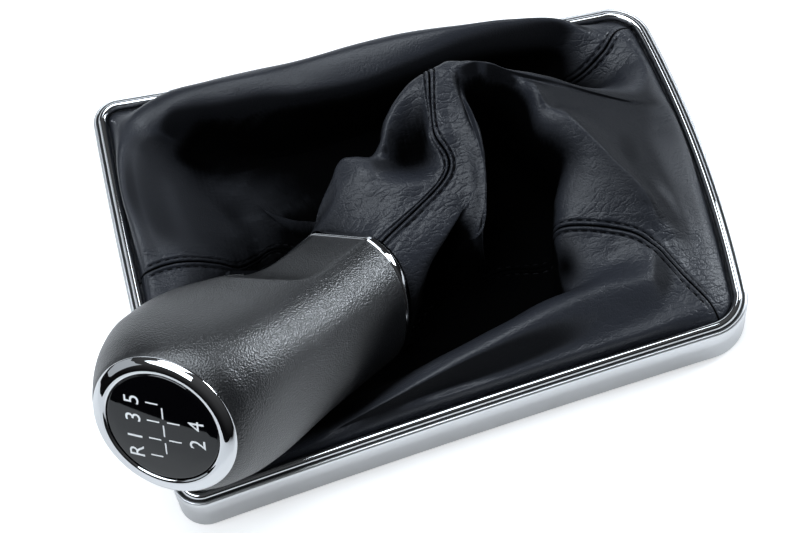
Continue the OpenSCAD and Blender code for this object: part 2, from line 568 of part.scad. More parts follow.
// glossy cap with a slight dome that carries the shift pattern
cap_dome = 0.6;
module pattern_cap() color(black_c)
    in_head() rotate_extrude($fn = 96) polygon([
        [0, -1.6 + fit], [cap_r, -1.6 + fit], [cap_r, ring_h - 0.8],
        [cap_r - 0.5, ring_h - 0.35], [cap_r * 0.75, ring_h - 0.35 + cap_dome * 0.44],
        [cap_r * 0.5, ring_h - 0.35 + cap_dome * 0.75],
        [cap_r * 0.25, ring_h - 0.35 + cap_dome * 0.94], [0, ring_h - 0.35 + cap_dome]]);

// inner core: fills the upper shell and carries the socket
bush_r = lever_r + bush_t;
stem_in = bush_r + fit;
stem_r = stem_in + stem_t;
core_top = 12;
stem_end = shell_end + collar_t + 2;
module knob_core() color(plastic_c)
    difference() {
        union() {
            on_axis(-core_end) cylinder(r = core_r, h = core_end - core_top - 0.1);
            on_axis(-stem_end) cylinder(r = stem_r, h = stem_end - core_end + 1);
        }
        on_axis(-stem_end - 1) cylinder(r = stem_in, h = stem_end - socket_top + 1);
    }

// steel-grey bush that slides over the lever's end
module lever_bush() color(plastic_c * 2)
    difference() {
        on_axis(-stem_end) cylinder(r = bush_r, h = stem_end - socket_top - fit);
        on_axis(-stem_end - 1) cylinder(r = lever_r, h = stem_end - socket_top - 3);
    }

// reverse lift

sleeve_in = stem_r + 0.08;
sleeve_r = sleeve_in + sleeve_t;

// chrome finger tongue with its spine and the bridge to the sleeve
module lift_trigger() color(chrome_c)
    difference() {
        union() {
            in_knob() translate([spine_x - spine_t, -tongue_w, -trig_low])
                cube([spine_t, 2 * tongue_w, trig_low - tongue_z + 3]);
            in_knob() translate([spine_x - 0.8, 0, -tongue_z]) rotate([0, -30, 0]) union() {
                translate([0, -tongue_w, 0])
                    cube([tongue_l - tongue_w * 0.6, 2 * tongue_w, tongue_t]);
                translate([tongue_l - tongue_w * 0.6, 0, 0]) scale([0.6, 1, 1])
                    cylinder(r = tongue_w, h = tongue_t);
            }
            in_knob() translate([0, -bridge_w, -bridge_low])
                cube([spine_x - spine_t + 1, 2 * bridge_w, bridge_h]);
        }
        on_axis(-sleeve_end) cylinder(r = sleeve_r + tiny, h = sleeve_end);
    }

// sleeve that slides on the core's stem and lifts the lever's catch
module lift_sleeve() color(plastic_c)
    difference() {
        on_axis(-sleeve_end) cylinder(r = sleeve_r, h = sleeve_end - sleeve_top);
        on_axis(-sleeve_end - 1) cylinder(r = sleeve_in, h = sleeve_end - sleeve_top + 2);
    }

// coil spring between the core and the sleeve
coil_r = stem_r + 0.5 + wire_d / 2;
coil_turns = 4;
module return_spring() color(steel_c) {
    m = 6;
    n = coil_turns * 14;
    z0 = -sleeve_top + wire_d / 2 + fit;
    z1 = -core_end - wire_d / 2 - fit;
    rings = [for (k = [0 : n])
        let (a = 360 * coil_turns * k / n,
             e = [cos(a), sin(a), 0])
        [for (q = [0 : m - 1])
            from_knob([axis_x, 0, lerp(z0, z1, k / n)] + coil_r * e
                + wire_d / 2 * (e * cos(q * 60) + [0, 0, 1] * sin(q * 60)))]];
    skin([for (r = rings) [for (q = [m - 1 : -1 : 0]) r[q]]]);
}

// ring in the shell's mouth that guides the sleeve
guide_h = 4;
module sleeve_guide() color(plastic_c)
    difference() {
        on_axis(-shell_end) cylinder(r = core_r, h = guide_h);
        on_axis(-shell_end - 1) cylinder(r = sleeve_r + 0.08, h = guide_h + 2);
    }

// collar

function neck_scaled(k) = [for (p = neck_pts) p * k];

// chrome plate that closes the shell
module base_collar() color(chrome_c)
    in_knob() translate([0, 0, -shell_end - fit - collar_t])
    difference() {
        linear_extrude(collar_t) polygon(neck_scaled(1.02));
        translate([axis_x, 0, -1]) cylinder(r = sleeve_r + 0.5, h = collar_t + 2);
    }

// dark plastic ring on which the gaiter is held
holder_top = -shell_end - 2 * fit - collar_t;
module gaiter_ring() color(plastic_c)
    in_knob() translate([0, 0, holder_top - holder_h])
    difference() {
        linear_extrude(holder_h) polygon(neck_scaled(0.88));
        translate([axis_x, 0, -1]) cylinder(r = sleeve_r + 1.2, h = holder_h + 2);
    }

translate([-mid_x, -mid_y, 0]) bezel_frame();
translate([-mid_x, -mid_y, 0]) carrier_frame();
translate([-mid_x, -mid_y, 0]) spring_clips();
translate([-mid_x, -mid_y, 0]) panel_far();
translate([-mid_x, -mid_y, 0]) panel_right();
translate([-mid_x, -mid_y, 0]) panel_near();
translate([-mid_x, -mid_y, 0]) thread_a();
translate([-mid_x, -mid_y, 0]) thread_b();
translate([-mid_x, -mid_y, 0]) thread_c();
translate([-mid_x, -mid_y, 0]) knob_shell();
translate([-mid_x, -mid_y, 0]) head_ring();
translate([-mid_x, -mid_y, 0]) pattern_cap();
translate([-mid_x, -mid_y, 0]) knob_core();
translate([-mid_x, -mid_y, 0]) lever_bush();
translate([-mid_x, -mid_y, 0]) lift_trigger();
translate([-mid_x, -mid_y, 0]) lift_sleeve();
translate([-mid_x, -mid_y, 0]) return_spring();
translate([-mid_x, -mid_y, 0]) sleeve_guide();
translate([-mid_x, -mid_y, 0]) base_collar();
translate([-mid_x, -mid_y, 0]) gaiter_ring();
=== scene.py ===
"""Looks of the gear shift knob on its gaiter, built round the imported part.

Lengths are millimetres in the drawing's frame until a mesh is made, and metres after that, in the
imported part's frame. The knob has a frame of its own: x to the front, z along the neck up to the head.
"""
import math

import bpy
import numpy as np
from mathutils import Matrix, Vector


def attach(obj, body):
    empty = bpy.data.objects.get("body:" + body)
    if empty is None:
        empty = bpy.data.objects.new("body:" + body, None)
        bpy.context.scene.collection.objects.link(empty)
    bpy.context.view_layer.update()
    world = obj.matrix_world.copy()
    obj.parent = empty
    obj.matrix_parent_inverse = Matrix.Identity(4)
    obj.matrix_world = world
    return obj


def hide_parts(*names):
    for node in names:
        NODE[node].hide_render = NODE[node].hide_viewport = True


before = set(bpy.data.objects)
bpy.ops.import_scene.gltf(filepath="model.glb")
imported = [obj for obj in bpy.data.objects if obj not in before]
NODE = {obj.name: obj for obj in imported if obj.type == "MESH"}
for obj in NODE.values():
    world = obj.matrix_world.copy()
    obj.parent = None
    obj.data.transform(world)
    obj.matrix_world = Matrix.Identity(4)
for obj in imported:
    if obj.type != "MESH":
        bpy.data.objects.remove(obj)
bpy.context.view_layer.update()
MM = 0.001
SHIFT = np.array([5.32, 3.19, 0.0])  # from the drawing's frame to the part's frame

# Console frame, measured at the black groove between bead and skirt
FRAME_L, HEAD_W, TAIL_W = 178, 145.45, 119.6
HEAD_BOW, TAIL_BOW, SIDE_BOW = 1.2, 4.55, 1
HEAD_CORNER, TAIL_CORNER = 7.3, 12.8
GROOVE_Z, SKIRT_Z = 17.7, 2.5
BEAD_W, SKIRT_OUT = 3.1, 1.46
SIDE_STEPS, CORNER_STEPS = 48, 20

# Knob: middle of the head ring, turns about X, Y and Z, lean of the head, radii, length of the grip
KNOB_AT = np.array([-86.2, -63.4, 57.2])
TURN_X, TURN_Y, TURN_Z = -62.7, 15.44, 136.92
HEAD_LEAN = 13
RING_R, CAP_R, SHELL_END = 22.4, 17.6, 81.5
AROUND = 200
# Sections of the grip from the ring down: depth, reach to the front, to the back and to each side,
# roundness of the front and of the back, distance of the corner cuts and of the side facets
SECTIONS = [
    [0, 22.3, 22.3, 22.3, 2, 2, 60, 60],
    [1, 23.6, 23.2, 23.2, 2, 2.05, 60, 60],
    [4, 26, 24.4, 24.4, 2.05, 2.15, 60, 60],
    [8, 28.8, 25.2, 25.3, 2.15, 2.2, 60, 60],
    [13, 31.6, 25.8, 26, 2.2, 2.3, 60, 60],
    [19, 33.6, 26.2, 26.3, 2.3, 2.35, 47.5, 60],
    [26, 34, 26.3, 26.2, 2.3, 2.4, 46.5, 60],
    [33, 32.6, 26.3, 25.7, 2.3, 2.4, 44, 30],
    [40, 28.8, 26.3, 25, 2.25, 2.4, 38, 27],
    [47, 24.4, 26.3, 24.5, 2.2, 2.4, 32, 23.2],
    [53, 21.6, 26.3, 24.1, 2.2, 2.45, 28, 20.6],
    [60, 20.3, 26.3, 23.9, 2.3, 2.5, 25.6, 19.6],
    [70, 19.9, 26.3, 23.8, 2.3, 2.5, 25.2, 19.6],
    [82, 19.9, 26.4, 23.9, 2.3, 2.5, 25.6, 19.6],
]
SECTION_END = 82
FACET_SLOPE = 0.2157  # how much the side facets close toward the front

# Gaiter: guide points of each spoke from the frame to the neck, going round from the head end
SPOKES = [
    [[-84, 5.5, 21], [-78, 7, 20], [-71, 7.5, 18], [-62, 7, 13], [-56, 6.5, 8],
     [-50, 10, 3.5], [-46.5, 12, 3], [-43, 12.5, 3], [-39, 9.5, 4.5], [-37, 3, 8]],
    [[-85, 18, 24], [-80, 19.5, 23], [-73, 20, 19], [-66, 20, 15], [-58, 19.5, 9],
     [-50, 19, 3.5], [-46, 19.5, 3], [-42, 18.5, 3], [-37.5, 13, 5.5], [-35.5, 5, 11]],
    [[-86, 34.5, 25], [-81, 34, 23], [-74, 33.5, 19], [-67, 31.5, 15], [-60, 29.5, 9],
     [-52.5, 27, 3.5], [-46.5, 25, 3], [-40.5, 21, 3.5], [-35.5, 13.5, 7.5], [-34.5, 4.5, 15]],
    [[-84, 50, 25], [-79, 47.5, 24], [-72, 44, 19], [-66, 41.5, 14], [-60, 38, 8],
     [-50.5, 33.5, 3], [-44.5, 28.5, 3], [-37.5, 21, 4.5], [-33, 11, 12], [-33, 4.5, 19]],
    [[-78, 60.5, 24], [-72, 55, 23], [-66, 52.5, 16], [-61, 49.5, 8], [-54, 45, 3.5],
     [-43, 35.5, 3], [-32, 5, 6], [-31, 5, 27], [-31, 2, 28], [-33, 1, 26.5]],
    [[-66, 65, 26], [-62, 60, 29], [-58.5, 55, 24], [-55, 52, 12], [-48.5, 47.5, 4],
     [-36, 38.5, 3], [-28.5, 6, 6], [-28.5, 6, 22], [-27.5, 6, 34], [-29, 2, 32]],
    [[-52, 64, 28], [-49.5, 59, 33], [-47, 52.5, 28], [-45, 49, 14], [-39.5, 46.5, 4],
     [-28.5, 40.5, 3], [-23.5, 11.5, 7], [-23.5, 11, 25], [-22.5, 10.5, 39], [-25, 3.5, 37]],
    [[-36, 62.5, 30], [-35, 57, 35], [-34, 50.5, 30], [-32, 46.5, 16], [-26.5, 45, 4],
     [-19.5, 40.5, 4], [-19, 18.5, 8], [-19, 17, 28], [-18, 14.5, 43], [-21, 5, 42]],
    [[-20, 60, 32], [-20, 55.5, 38], [-21, 47, 32], [-18, 45.5, 16], [-14, 45.5, 5],
     [-11, 42, 4], [-14, 21, 10], [-14, 18, 32], [-14, 13, 45], [-17, 3.5, 44]],
    [[-3, 59.5, 34], [-3, 54.5, 40], [-5, 45, 33], [-3, 45, 16], [0, 46.5, 5],
     [-1.5, 42.5, 5], [-9.5, 19, 14], [-9.5, 16, 36], [-9.5, 11, 45], [-13, 1.5, 44.5]],
    [[14, 58.5, 35], [14, 53.5, 41], [11, 45.5, 34], [12, 46.5, 16], [11, 48, 6],
     [6.5, 44.5, 6], [-6, 22.5, 16], [-5, 16.5, 45], [-4, 10.5, 42], [-8.5, 1.5, 45]],
    [[31, 57, 33], [30, 53, 40], [27, 47, 32], [26, 49.5, 16], [24, 51.5, 8],
     [16, 50, 9], [-4, 27, 20], [-1.5, 21.5, 49], [1, 12, 38.5], [-3.5, 0.5, 45]],
    [[49, 57, 28], [46, 54.5, 35], [44, 49.5, 27], [42, 49.5, 15], [37, 49.5, 9],
     [26, 50.5, 10], [2.5, 31.5, 26], [3.5, 26, 51], [5, 12.5, 38.5], [0.5, -0.5, 44.5]],
    [[66.5, 56, 22], [64, 54.5, 27], [61, 50.5, 20], [58, 48.5, 13], [50, 46.5, 9],
     [35.5, 46.5, 12], [8, 34.5, 32], [9, 29, 53], [8, 12.5, 42], [6, -0.5, 43.5]],
    [[80, 49.5, 21], [74, 44, 20], [65, 41, 14], [54, 41, 9], [41, 43, 12],
     [30, 45.5, 18], [14.5, 36, 36], [14.5, 30.5, 54], [11, 14, 49.5], [12, 1, 43.5]],
    [[85, 38, 21], [79, 34, 20], [70, 33.5, 16], [56, 35.5, 14], [42.5, 36.5, 20],
     [31.5, 34, 36], [22, 35, 46], [20, 31.5, 55], [17, 15, 50], [14.5, -2, 43]],
    [[86, 25.5, 22], [76, 20.5, 29], [62.5, 21, 38], [50, 24, 46], [38, 26, 52],
     [31.5, 28.5, 54.5], [26, 30.5, 55.5], [22, 28.5, 54], [20, 11.5, 49], [15.5, -5.5, 42]],
    [[88, 17, 21], [79, 16.5, 26], [65.5, 18, 35.5], [52.5, 19.5, 45], [42, 22, 51],
     [33, 25, 54], [28, 26.5, 50], [22.5, 23.5, 50.5], [22.5, 3.5, 47], [14.5, -9.5, 40.5]],
    [[88, 4.5, 22], [76.5, 7.5, 28], [63, 11.5, 37], [51, 14, 45], [42.5, 16.5, 51],
     [33.5, 18.5, 20], [25, 13.5, 20], [24, 15.5, 50.5], [22, -5, 44], [10.5, -13, 38]],
    [[87, -8, 22], [76.5, -3.5, 27.5], [65, 1, 36.5], [51.5, 7.5, 48], [42, 8.5, 42],
     [39.5, 8, 10], [25, 0, 10], [24.5, 6, 48], [19.5, -13.5, 40], [7, -13.5, 33]],
    [[86, -20.5, 21], [79, -16, 25], [71, -12, 30], [59.5, -4.5, 42], [47.5, 0, 35.5],
     [45.5, -1.5, 7], [23, -7.5, 7], [22, -6.5, 43.5], [17, -18, 36], [5, -13, 25]],
    [[84, -35, 20], [79.5, -29, 22.5], [73.5, -23, 27.5], [66, -16.5, 36], [44, -9, 30.5],
     [41.5, -10.5, 6], [18, -15, 12], [17.5, -18, 34], [11.5, -16.5, 28], [3.5, -14.5, 15]],
    [[79, -51, 20], [74, -42, 22], [68, -31.5, 26], [59.5, -24.5, 28.5], [41.5, -18.5, 28],
     [38, -20, 9], [25, -18.5, 9], [16, -19.5, 9.5], [5.5, -19.5, 7.5], [-4.5, -26.5, 6]],
    [[67, -55, 20.5], [65, -49.5, 22], [62.5, -41.5, 28], [55, -33, 25.5], [40, -28, 24.5],
     [36.5, -28.5, 7], [24, -25.5, 4], [12.5, -25.5, 3.5], [0, -28.5, 3.5], [-10, -32.5, 4]],
    [[50, -57, 21], [49, -52.5, 23], [48, -43.5, 30], [44.5, -39, 28], [36.5, -39, 24],
     [32.5, -40, 6], [23, -34, 4], [11.5, -34, 3.5], [-1, -33, 3], [-17, -32, 3]],
    [[32, -58, 21], [32, -55, 23], [31, -48, 32], [29, -42, 29], [26, -38, 16],
     [22, -37, 4], [18, -37, 3.5], [14, -37, 3], [2, -36, 3], [-21, -30, 2.5]],
    [[14, -59.5, 21], [14, -57, 23], [14, -52, 32], [13, -46, 28], [12, -42, 14],
     [10, -40, 4], [7, -39.5, 3.5], [4, -39, 3], [-6, -37, 2], [-24.5, -27, 1.8]],
    [[-4, -60.5, 21], [-5, -58, 22], [-5, -56, 30], [-6, -50, 26], [-7, -45, 12],
     [-8, -42, 4], [-10, -40.5, 3.5], [-12, -39, 3], [-17, -34, 1.6], [-27.5, -24, 1.4]],
    [[-22, -62, 20], [-22, -60, 23], [-22, -59, 27], [-23, -53, 22], [-24, -47, 10],
     [-26, -43, 4], [-27, -40.5, 3], [-28, -38, 2], [-29, -31, 1.2], [-30, -21.5, 1]],
    [[-40, -63.5, 19], [-40, -62, 20], [-40, -60, 20], [-41, -54, 14], [-42, -48, 8],
     [-43, -43, 4], [-42.5, -39.5, 3], [-42, -36, 2], [-38, -27, 1.3], [-32.5, -19, 1.2]],
    [[-58, -65, 19], [-57, -64, 18], [-56, -59, 14], [-55, -52, 9], [-54, -46, 6],
     [-53, -39, 3], [-51.5, -35, 2.5], [-50, -31, 2], [-43, -21, 1.5], [-35, -16, 1.4]],
    [[-73, -65.5, 18], [-69, -60, 16], [-65, -54, 12], [-63, -47, 7], [-61, -40, 4],
     [-58, -32, 3], [-56, -28, 2.5], [-54, -24, 2], [-46, -14, 1.8], [-37, -13, 2.4]],
    [[-82, -55, 18], [-78, -48, 16], [-73, -42, 12], [-69, -35, 7], [-65, -28, 4],
     [-61, -22, 3], [-58, -18.5, 2.5], [-55, -15, 2], [-47, -7, 2], [-38.5, -10, 3.8]],
    [[-84, -38, 19], [-80, -33, 17], [-75, -28, 13], [-70, -22, 8], [-65, -17, 4],
     [-60, -12, 3], [-56.5, -9, 2.5], [-53, -6, 2], [-46, 0, 2], [-39.5, -7, 5]],
    [[-85, -22, 19], [-80, -19, 18], [-75, -16, 14], [-69, -13, 9], [-63, -9, 5],
     [-58, -5, 3], [-54.5, -2.5, 2.5], [-51, 0, 2], [-44, 5, 2], [-37, 1, 7]],
    [[-85, -9, 20], [-79, -6, 19], [-73, -5, 16], [-66, -4, 11], [-60, -2, 6],
     [-54, 2, 3], [-51, 4.5, 2.5], [-48, 7, 2.5], [-42.5, 6.5, 3.5], [-38.5, 0.5, 7]],
]
# where each spoke starts on the frame, in thousandths of the way round
SPOKE_AT = [
    10, 33, 60, 87, 135, 152, 179, 205, 231, 260, 287, 317, 347, 376, 410, 434, 454, 474, 497,
    520, 543, 567, 605, 631, 661, 691, 720, 749, 779, 809, 838, 865, 908, 938, 964, 987,
]
# where each spoke ends on the neck, in the knob's frame
NECK_AT = [
    [19.9, 0], [19.9, -3], [19.6, -6], [17.5, -9.5], [15, -12], [12.5, -14.5], [9.5, -17],
    [6, -18.3], [2.5, -19], [-1, -19.8], [-4.5, -20.6], [-8, -21.3], [-11.5, -22], [-14, -22],
    [-16.5, -21.2], [-20, -19], [-23.2, -15.5], [-25.5, -10], [-26.4, -3], [-26.2, 4.5],
    [-24.8, 11], [-22.5, 16.5], [-16.5, 21.2], [-14, 22], [-11.5, 22], [-8, 21.3], [-4.5, 20.6],
    [-1, 19.8], [2.5, 19], [6, 18.3], [9.5, 17], [12.5, 14.5], [15, 12], [17.5, 9.5], [19.6, 6],
    [19.9, 3],
]
NECK_SCALE, NECK_Z = 0.96, -85.5
HEM_ROWS = ((-1, 14.3), (-3.9, 14.5), (-3.9, 17))  # offset from the groove and height of the hem
SEAMS = (0, 14, 22)  # the spokes that the seams follow
STITCH = 1.6  # distance of a row of stitches from its seam
# places where shade is painted on the leather, as little light reaches them: middle x and y, half
# widths, share
SHADE_WELLS = [(40.0, -30.0, 5.0, 8.5, 1.0), (69.0, 0.0, 9.0, 17.0, 0.7)]

# Shift pattern printed on the cap: a bar between the gates, gates to the front and to the back
CROSS_X, CROSS_SPANS = -0.85, ((-7.2, -3.5), (-1.4, 2.5), (4.7, 8.5))
FRONT_GATES = (-8.1, -2.15, 3.85, 9.75)
BACK_GATES = (-2.55, 3.55)
BARS = ([(CROSS_X, a, CROSS_X, b) for a, b in CROSS_SPANS]
        + [(4.2, y, 0.35, y) for y in FRONT_GATES]
        + [(-2.1, y, -6.0, y) for y in BACK_GATES])
BAR_W, DIGIT_SIZE = 0.46, 6.9
FRONT_X, BACK_X = 8.7, -10.9
DIGITS = [("5", FRONT_X, -8.1), ("3", FRONT_X, -2.15), ("1", FRONT_X, 4.2), ("R", FRONT_X, 9.3),
          ("4", BACK_X, -3.0), ("2", BACK_X, 3.2)]


# Helpers
def spline(p0, p1, p2, p3, t):
    """Smooth curve through p1 and p2, at share t of the way between them."""
    return 0.5 * (2 * p1 + (p2 - p0) * t + (2 * p0 - 5 * p1 + 4 * p2 - p3) * t * t
                  + (3 * p1 - p0 - 3 * p2 + p3) * t ** 3)


def ease(a, b, x):
    """Smooth step from 0 at a to 1 at b."""
    t = np.clip((x - a) / (b - a), 0, 1)
    return t * t * (3 - 2 * t)


def hill(x, middle, width):
    return np.exp(-((x - middle) / width) ** 2)


def unit(v):
    return v / np.maximum(np.linalg.norm(v, axis=-1, keepdims=True), 1e-9)


def lattice(i, j, k, seed):
    """Fixed value from -1 to 1 for each whole place."""
    h = (i * 374761393 + j * 668265263 + k * 1274126177 + seed * 974711) & 0xFFFFFFFF
    h = ((h ^ (h >> 13)) * 1103515245 + 12345) & 0xFFFFFFFF
    h = ((h ^ (h >> 16)) * 2246822519) & 0xFFFFFFFF
    return ((h >> 8) & 0xFFFF) / 65535.0 * 2 - 1


def noise(p, seed):
    """Smooth value noise of points (..., 3), about -1 to 1."""
    cell = np.floor(p).astype(np.int64)
    f = p - cell
    f = f * f * (3 - 2 * f)
    out = 0
    for a in (0, 1):
        for b in (0, 1):
            for c in (0, 1):
                weight = (np.where(a, f[..., 0], 1 - f[..., 0]) * np.where(b, f[..., 1], 1 - f[..., 1])
                          * np.where(c, f[..., 2], 1 - f[..., 2]))
                corner = lattice(cell[..., 0] + a, cell[..., 1] + b, cell[..., 2] + c, seed)
                out = out + weight * corner
    return out


def add_mesh(name, verts, faces, mats, replaces=(), index=None, smooth=True, body="base"):
    """Mesh object from points in millimetres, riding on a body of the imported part."""
    me = bpy.data.meshes.new(name)
    me.from_pydata(((np.asarray(verts, float) + SHIFT) * MM).tolist(), [],
                   [list(map(int, f)) for f in faces])
    for m in mats:
        me.materials.append(m)
    if index is not None:
        me.polygons.foreach_set("material_index", np.asarray(index, np.int32))
    if smooth:
        me.polygons.foreach_set("use_smooth", np.ones(len(me.polygons), bool))
    me.update()
    ob = bpy.data.objects.new(name, me)
    bpy.context.scene.collection.objects.link(ob)
    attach(ob, body)
    if replaces:
        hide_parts(*replaces)
    return ob


def grid_faces(n, m, close_u=False, close_v=False, flip=False):
    """Quads of an n by m grid of points, closed along either way if asked."""
    i = np.arange(n if close_u else n - 1)[:, None]
    j = np.arange(m if close_v else m - 1)[None, :]
    a = i * m + j
    b = ((i + 1) % n) * m + j
    c = ((i + 1) % n) * m + (j + 1) % m
    d = i * m + (j + 1) % m
    return np.stack([a, d, c, b] if flip else [a, b, c, d], -1).reshape(-1, 4)


def rounded(points, radii, steps):
    """Polygon with corner i rounded by radius i."""
    out = []
    points = [np.array(p, float) for p in points]
    for i, p in enumerate(points):
        if radii[i] <= 0:
            out.append(p)
            continue
        a, b = points[i - 1], points[(i + 1) % len(points)]
        cut = min(radii[i], 0.45 * np.linalg.norm(a - p), 0.45 * np.linalg.norm(b - p))
        start, end = p + unit(a - p) * cut, p + unit(b - p) * cut
        for t in np.linspace(0, 1, steps):
            out.append((1 - t) ** 2 * start + 2 * t * (1 - t) * p + t * t * end)
    return np.array(out)


# Outline of the console frame
def outline():
    """Points along the groove from the near corner of the head end, and their outward normals."""
    corner = np.array([[-FRAME_L / 2, -HEAD_W / 2], [FRAME_L / 2, -TAIL_W / 2],
                       [FRAME_L / 2, TAIL_W / 2], [-FRAME_L / 2, HEAD_W / 2]])
    radius = [HEAD_CORNER, TAIL_CORNER, TAIL_CORNER, HEAD_CORNER]
    bow = [-SIDE_BOW, TAIL_BOW, -SIDE_BOW, HEAD_BOW]
    run = [corner[(i + 1) % 4] - corner[i] for i in range(4)]
    out = [bow[i] * np.array([unit(run[i])[1], -unit(run[i])[0]]) for i in range(4)]

    def point(i, t):
        return corner[i] + run[i] * t + 4 * t * (1 - t) * out[i]

    def heading(i, t):
        return unit(run[i] + 4 * (1 - 2 * t) * out[i])

    cut = [radius[i] * math.tan(math.acos(float(heading(i - 1, 1) @ heading(i, 0))) / 2)
           for i in range(4)]
    length = [np.linalg.norm(r) for r in run]
    start = [cut[i] / length[i] for i in range(4)]
    end = [1 - cut[(i + 1) % 4] / length[i] for i in range(4)]
    points = []
    for i in range(4):
        for k in range(SIDE_STEPS + 1):
            points.append(point(i, start[i] + (end[i] - start[i]) * k / SIDE_STEPS))
        j = (i + 1) % 4
        u, w = heading(i, end[i]), heading(j, start[j])
        side = np.array([u[1], -u[0]])
        middle = point(i, end[i]) - radius[j] * side
        bend = math.acos(float(np.clip(u @ w, -1, 1)))
        for k in range(1, CORNER_STEPS):
            a = bend * k / CORNER_STEPS
            points.append(middle + radius[j] * (side * math.cos(a) + u * math.sin(a)))
    points = np.array(points)
    t = unit(np.roll(points, -1, 0) - np.roll(points, 1, 0))
    return points, np.stack([t[:, 1], -t[:, 0]], 1)


RIM, RIM_OUT = outline()
RIM_STEP = np.linalg.norm(np.roll(RIM, -1, 0) - RIM, axis=1)
RIM_RUN = np.concatenate([[0], np.cumsum(RIM_STEP)])
HEAD_MIDDLE = RIM_RUN[3 * (SIDE_STEPS + CORNER_STEPS) + SIDE_STEPS // 2]


def rim_point(share, offset):
    """Points at a share of the way round from the head end's middle, offset outward."""
    d = (HEAD_MIDDLE - share * RIM_RUN[-1]) % RIM_RUN[-1]
    i = np.clip(np.searchsorted(RIM_RUN, d, side="right") - 1, 0, len(RIM) - 1)
    t = ((d - RIM_RUN[i]) / RIM_STEP[i])[:, None]
    j = (i + 1) % len(RIM)
    return RIM[i] * (1 - t) + RIM[j] * t + offset * unit(RIM_OUT[i] * (1 - t) + RIM_OUT[j] * t)


# Frame and sections of the knob
def turn(axis, degrees):
    return np.array(Matrix.Rotation(math.radians(degrees), 3, axis))


KNOB_AXES = turn("Z", TURN_Z) @ turn("Y", TURN_Y) @ turn("X", TURN_X)
HEAD_AXES = KNOB_AXES @ turn("Y", -HEAD_LEAN)


def from_knob(p):
    return KNOB_AT + np.asarray(p, float) @ KNOB_AXES.T


def from_head(p):
    return KNOB_AT + np.asarray(p, float) @ HEAD_AXES.T


def soft_min(a, b, r):
    h = np.clip(0.5 + 0.5 * (b - a) / r, 0, 1)
    return b * (1 - h) + a * h - r * h * (1 - h)


def grip_section(row, angle):
    """Outline of the grip: a rounded oval with corner cuts and side facets."""
    _, front, back, side, front_round, back_round, corner_cut, facet = row
    c, s = np.cos(angle), np.sin(angle)
    x = np.where(c >= 0, front, -back) * np.abs(c) ** (2 / np.where(c >= 0, front_round, back_round))
    y = np.where(s < 0, -1, 1) * side * np.abs(s) ** (2 / np.where(c >= 0, front_round, back_round))
    w = np.arctan2(y, x)
    r = np.hypot(x, y)
    for slope, limit, softness in ((1, corner_cut, 2.5), (FACET_SLOPE, facet, 0.5)):
        toward = np.abs(np.sin(w)) + slope * np.cos(w)
        r = soft_min(r, np.where(toward > 0.05, limit / np.maximum(toward, 0.05), 400), softness)
    return np.stack([r * np.cos(w), r * np.sin(w)], -1)


def fine_sections():
    rows = np.array(SECTIONS, float)
    out = []
    for i in range(len(rows) - 1):
        a, b, c, d = rows[max(i - 1, 0)], rows[i], rows[i + 1], rows[min(i + 2, len(rows) - 1)]
        steps = 2 if i == 0 else 8
        out += [spline(a, b, c, d, t / steps) for t in range(steps)]
    return np.array(out + [rows[-1]])


GRIP_ROWS = fine_sections()
GRIP_TURN = np.linspace(0, 2 * math.pi, AROUND, endpoint=False)


# Materials
def material(name, base, rough, metal=0.0, spec=0.5):
    m = bpy.data.materials.new(name)
    m.use_nodes = True
    b = shader(m)
    b.inputs["Base Color"].default_value = (*base, 1)
    b.inputs["Roughness"].default_value = rough
    b.inputs["Metallic"].default_value = metal
    b.inputs["Specular IOR Level"].default_value = spec
    return m


def shader(m):
    return m.node_tree.nodes["Principled BSDF"]


def node(m, kind, **values):
    """New node; each value sets an input of that name, or else a property."""
    n = m.node_tree.nodes.new(kind)
    for key, value in values.items():
        if key in n.inputs:
            n.inputs[key].default_value = value
        else:
            setattr(n, key, value)
    return n


def wire(m, a, out, b, inp):
    m.node_tree.links.new(a.outputs[out], b.inputs[inp])


def maths(m, operation, *terms):
    """Maths node; a term is a number or a pair of a node and its output."""
    n = node(m, "ShaderNodeMath", operation=operation)
    for k, term in enumerate(terms):
        if isinstance(term, tuple):
            wire(m, term[0], term[1], n, k)
        else:
            n.inputs[k].default_value = term
    return n


def bump(m, source, output, depth, strength, under=None):
    n = node(m, "ShaderNodeBump", Strength=strength, Distance=depth)
    wire(m, source, output, n, "Height")
    if under is not None:
        wire(m, under, "Normal", n, "Normal")
    return n


def grip_material():
    """Soft-touch plastic with fine pebbles that catch the light. Scales are per metre."""
    m = material("grip", (0.0035, 0.0037, 0.0045), 0.34, spec=1.0)
    place = node(m, "ShaderNodeTexCoord")
    pebbles = node(m, "ShaderNodeTexVoronoi", Scale=2000.0)
    haze = node(m, "ShaderNodeTexNoise", Scale=1500.0, Detail=3.0)
    wire(m, place, "Object", pebbles, "Vector")
    wire(m, place, "Object", haze, "Vector")
    grain = maths(m, "ADD", (pebbles, "Distance"), (haze, "Fac"))
    wire(m, bump(m, grain, 0, 0.00013, 0.8), "Normal", shader(m), "Normal")
    return m


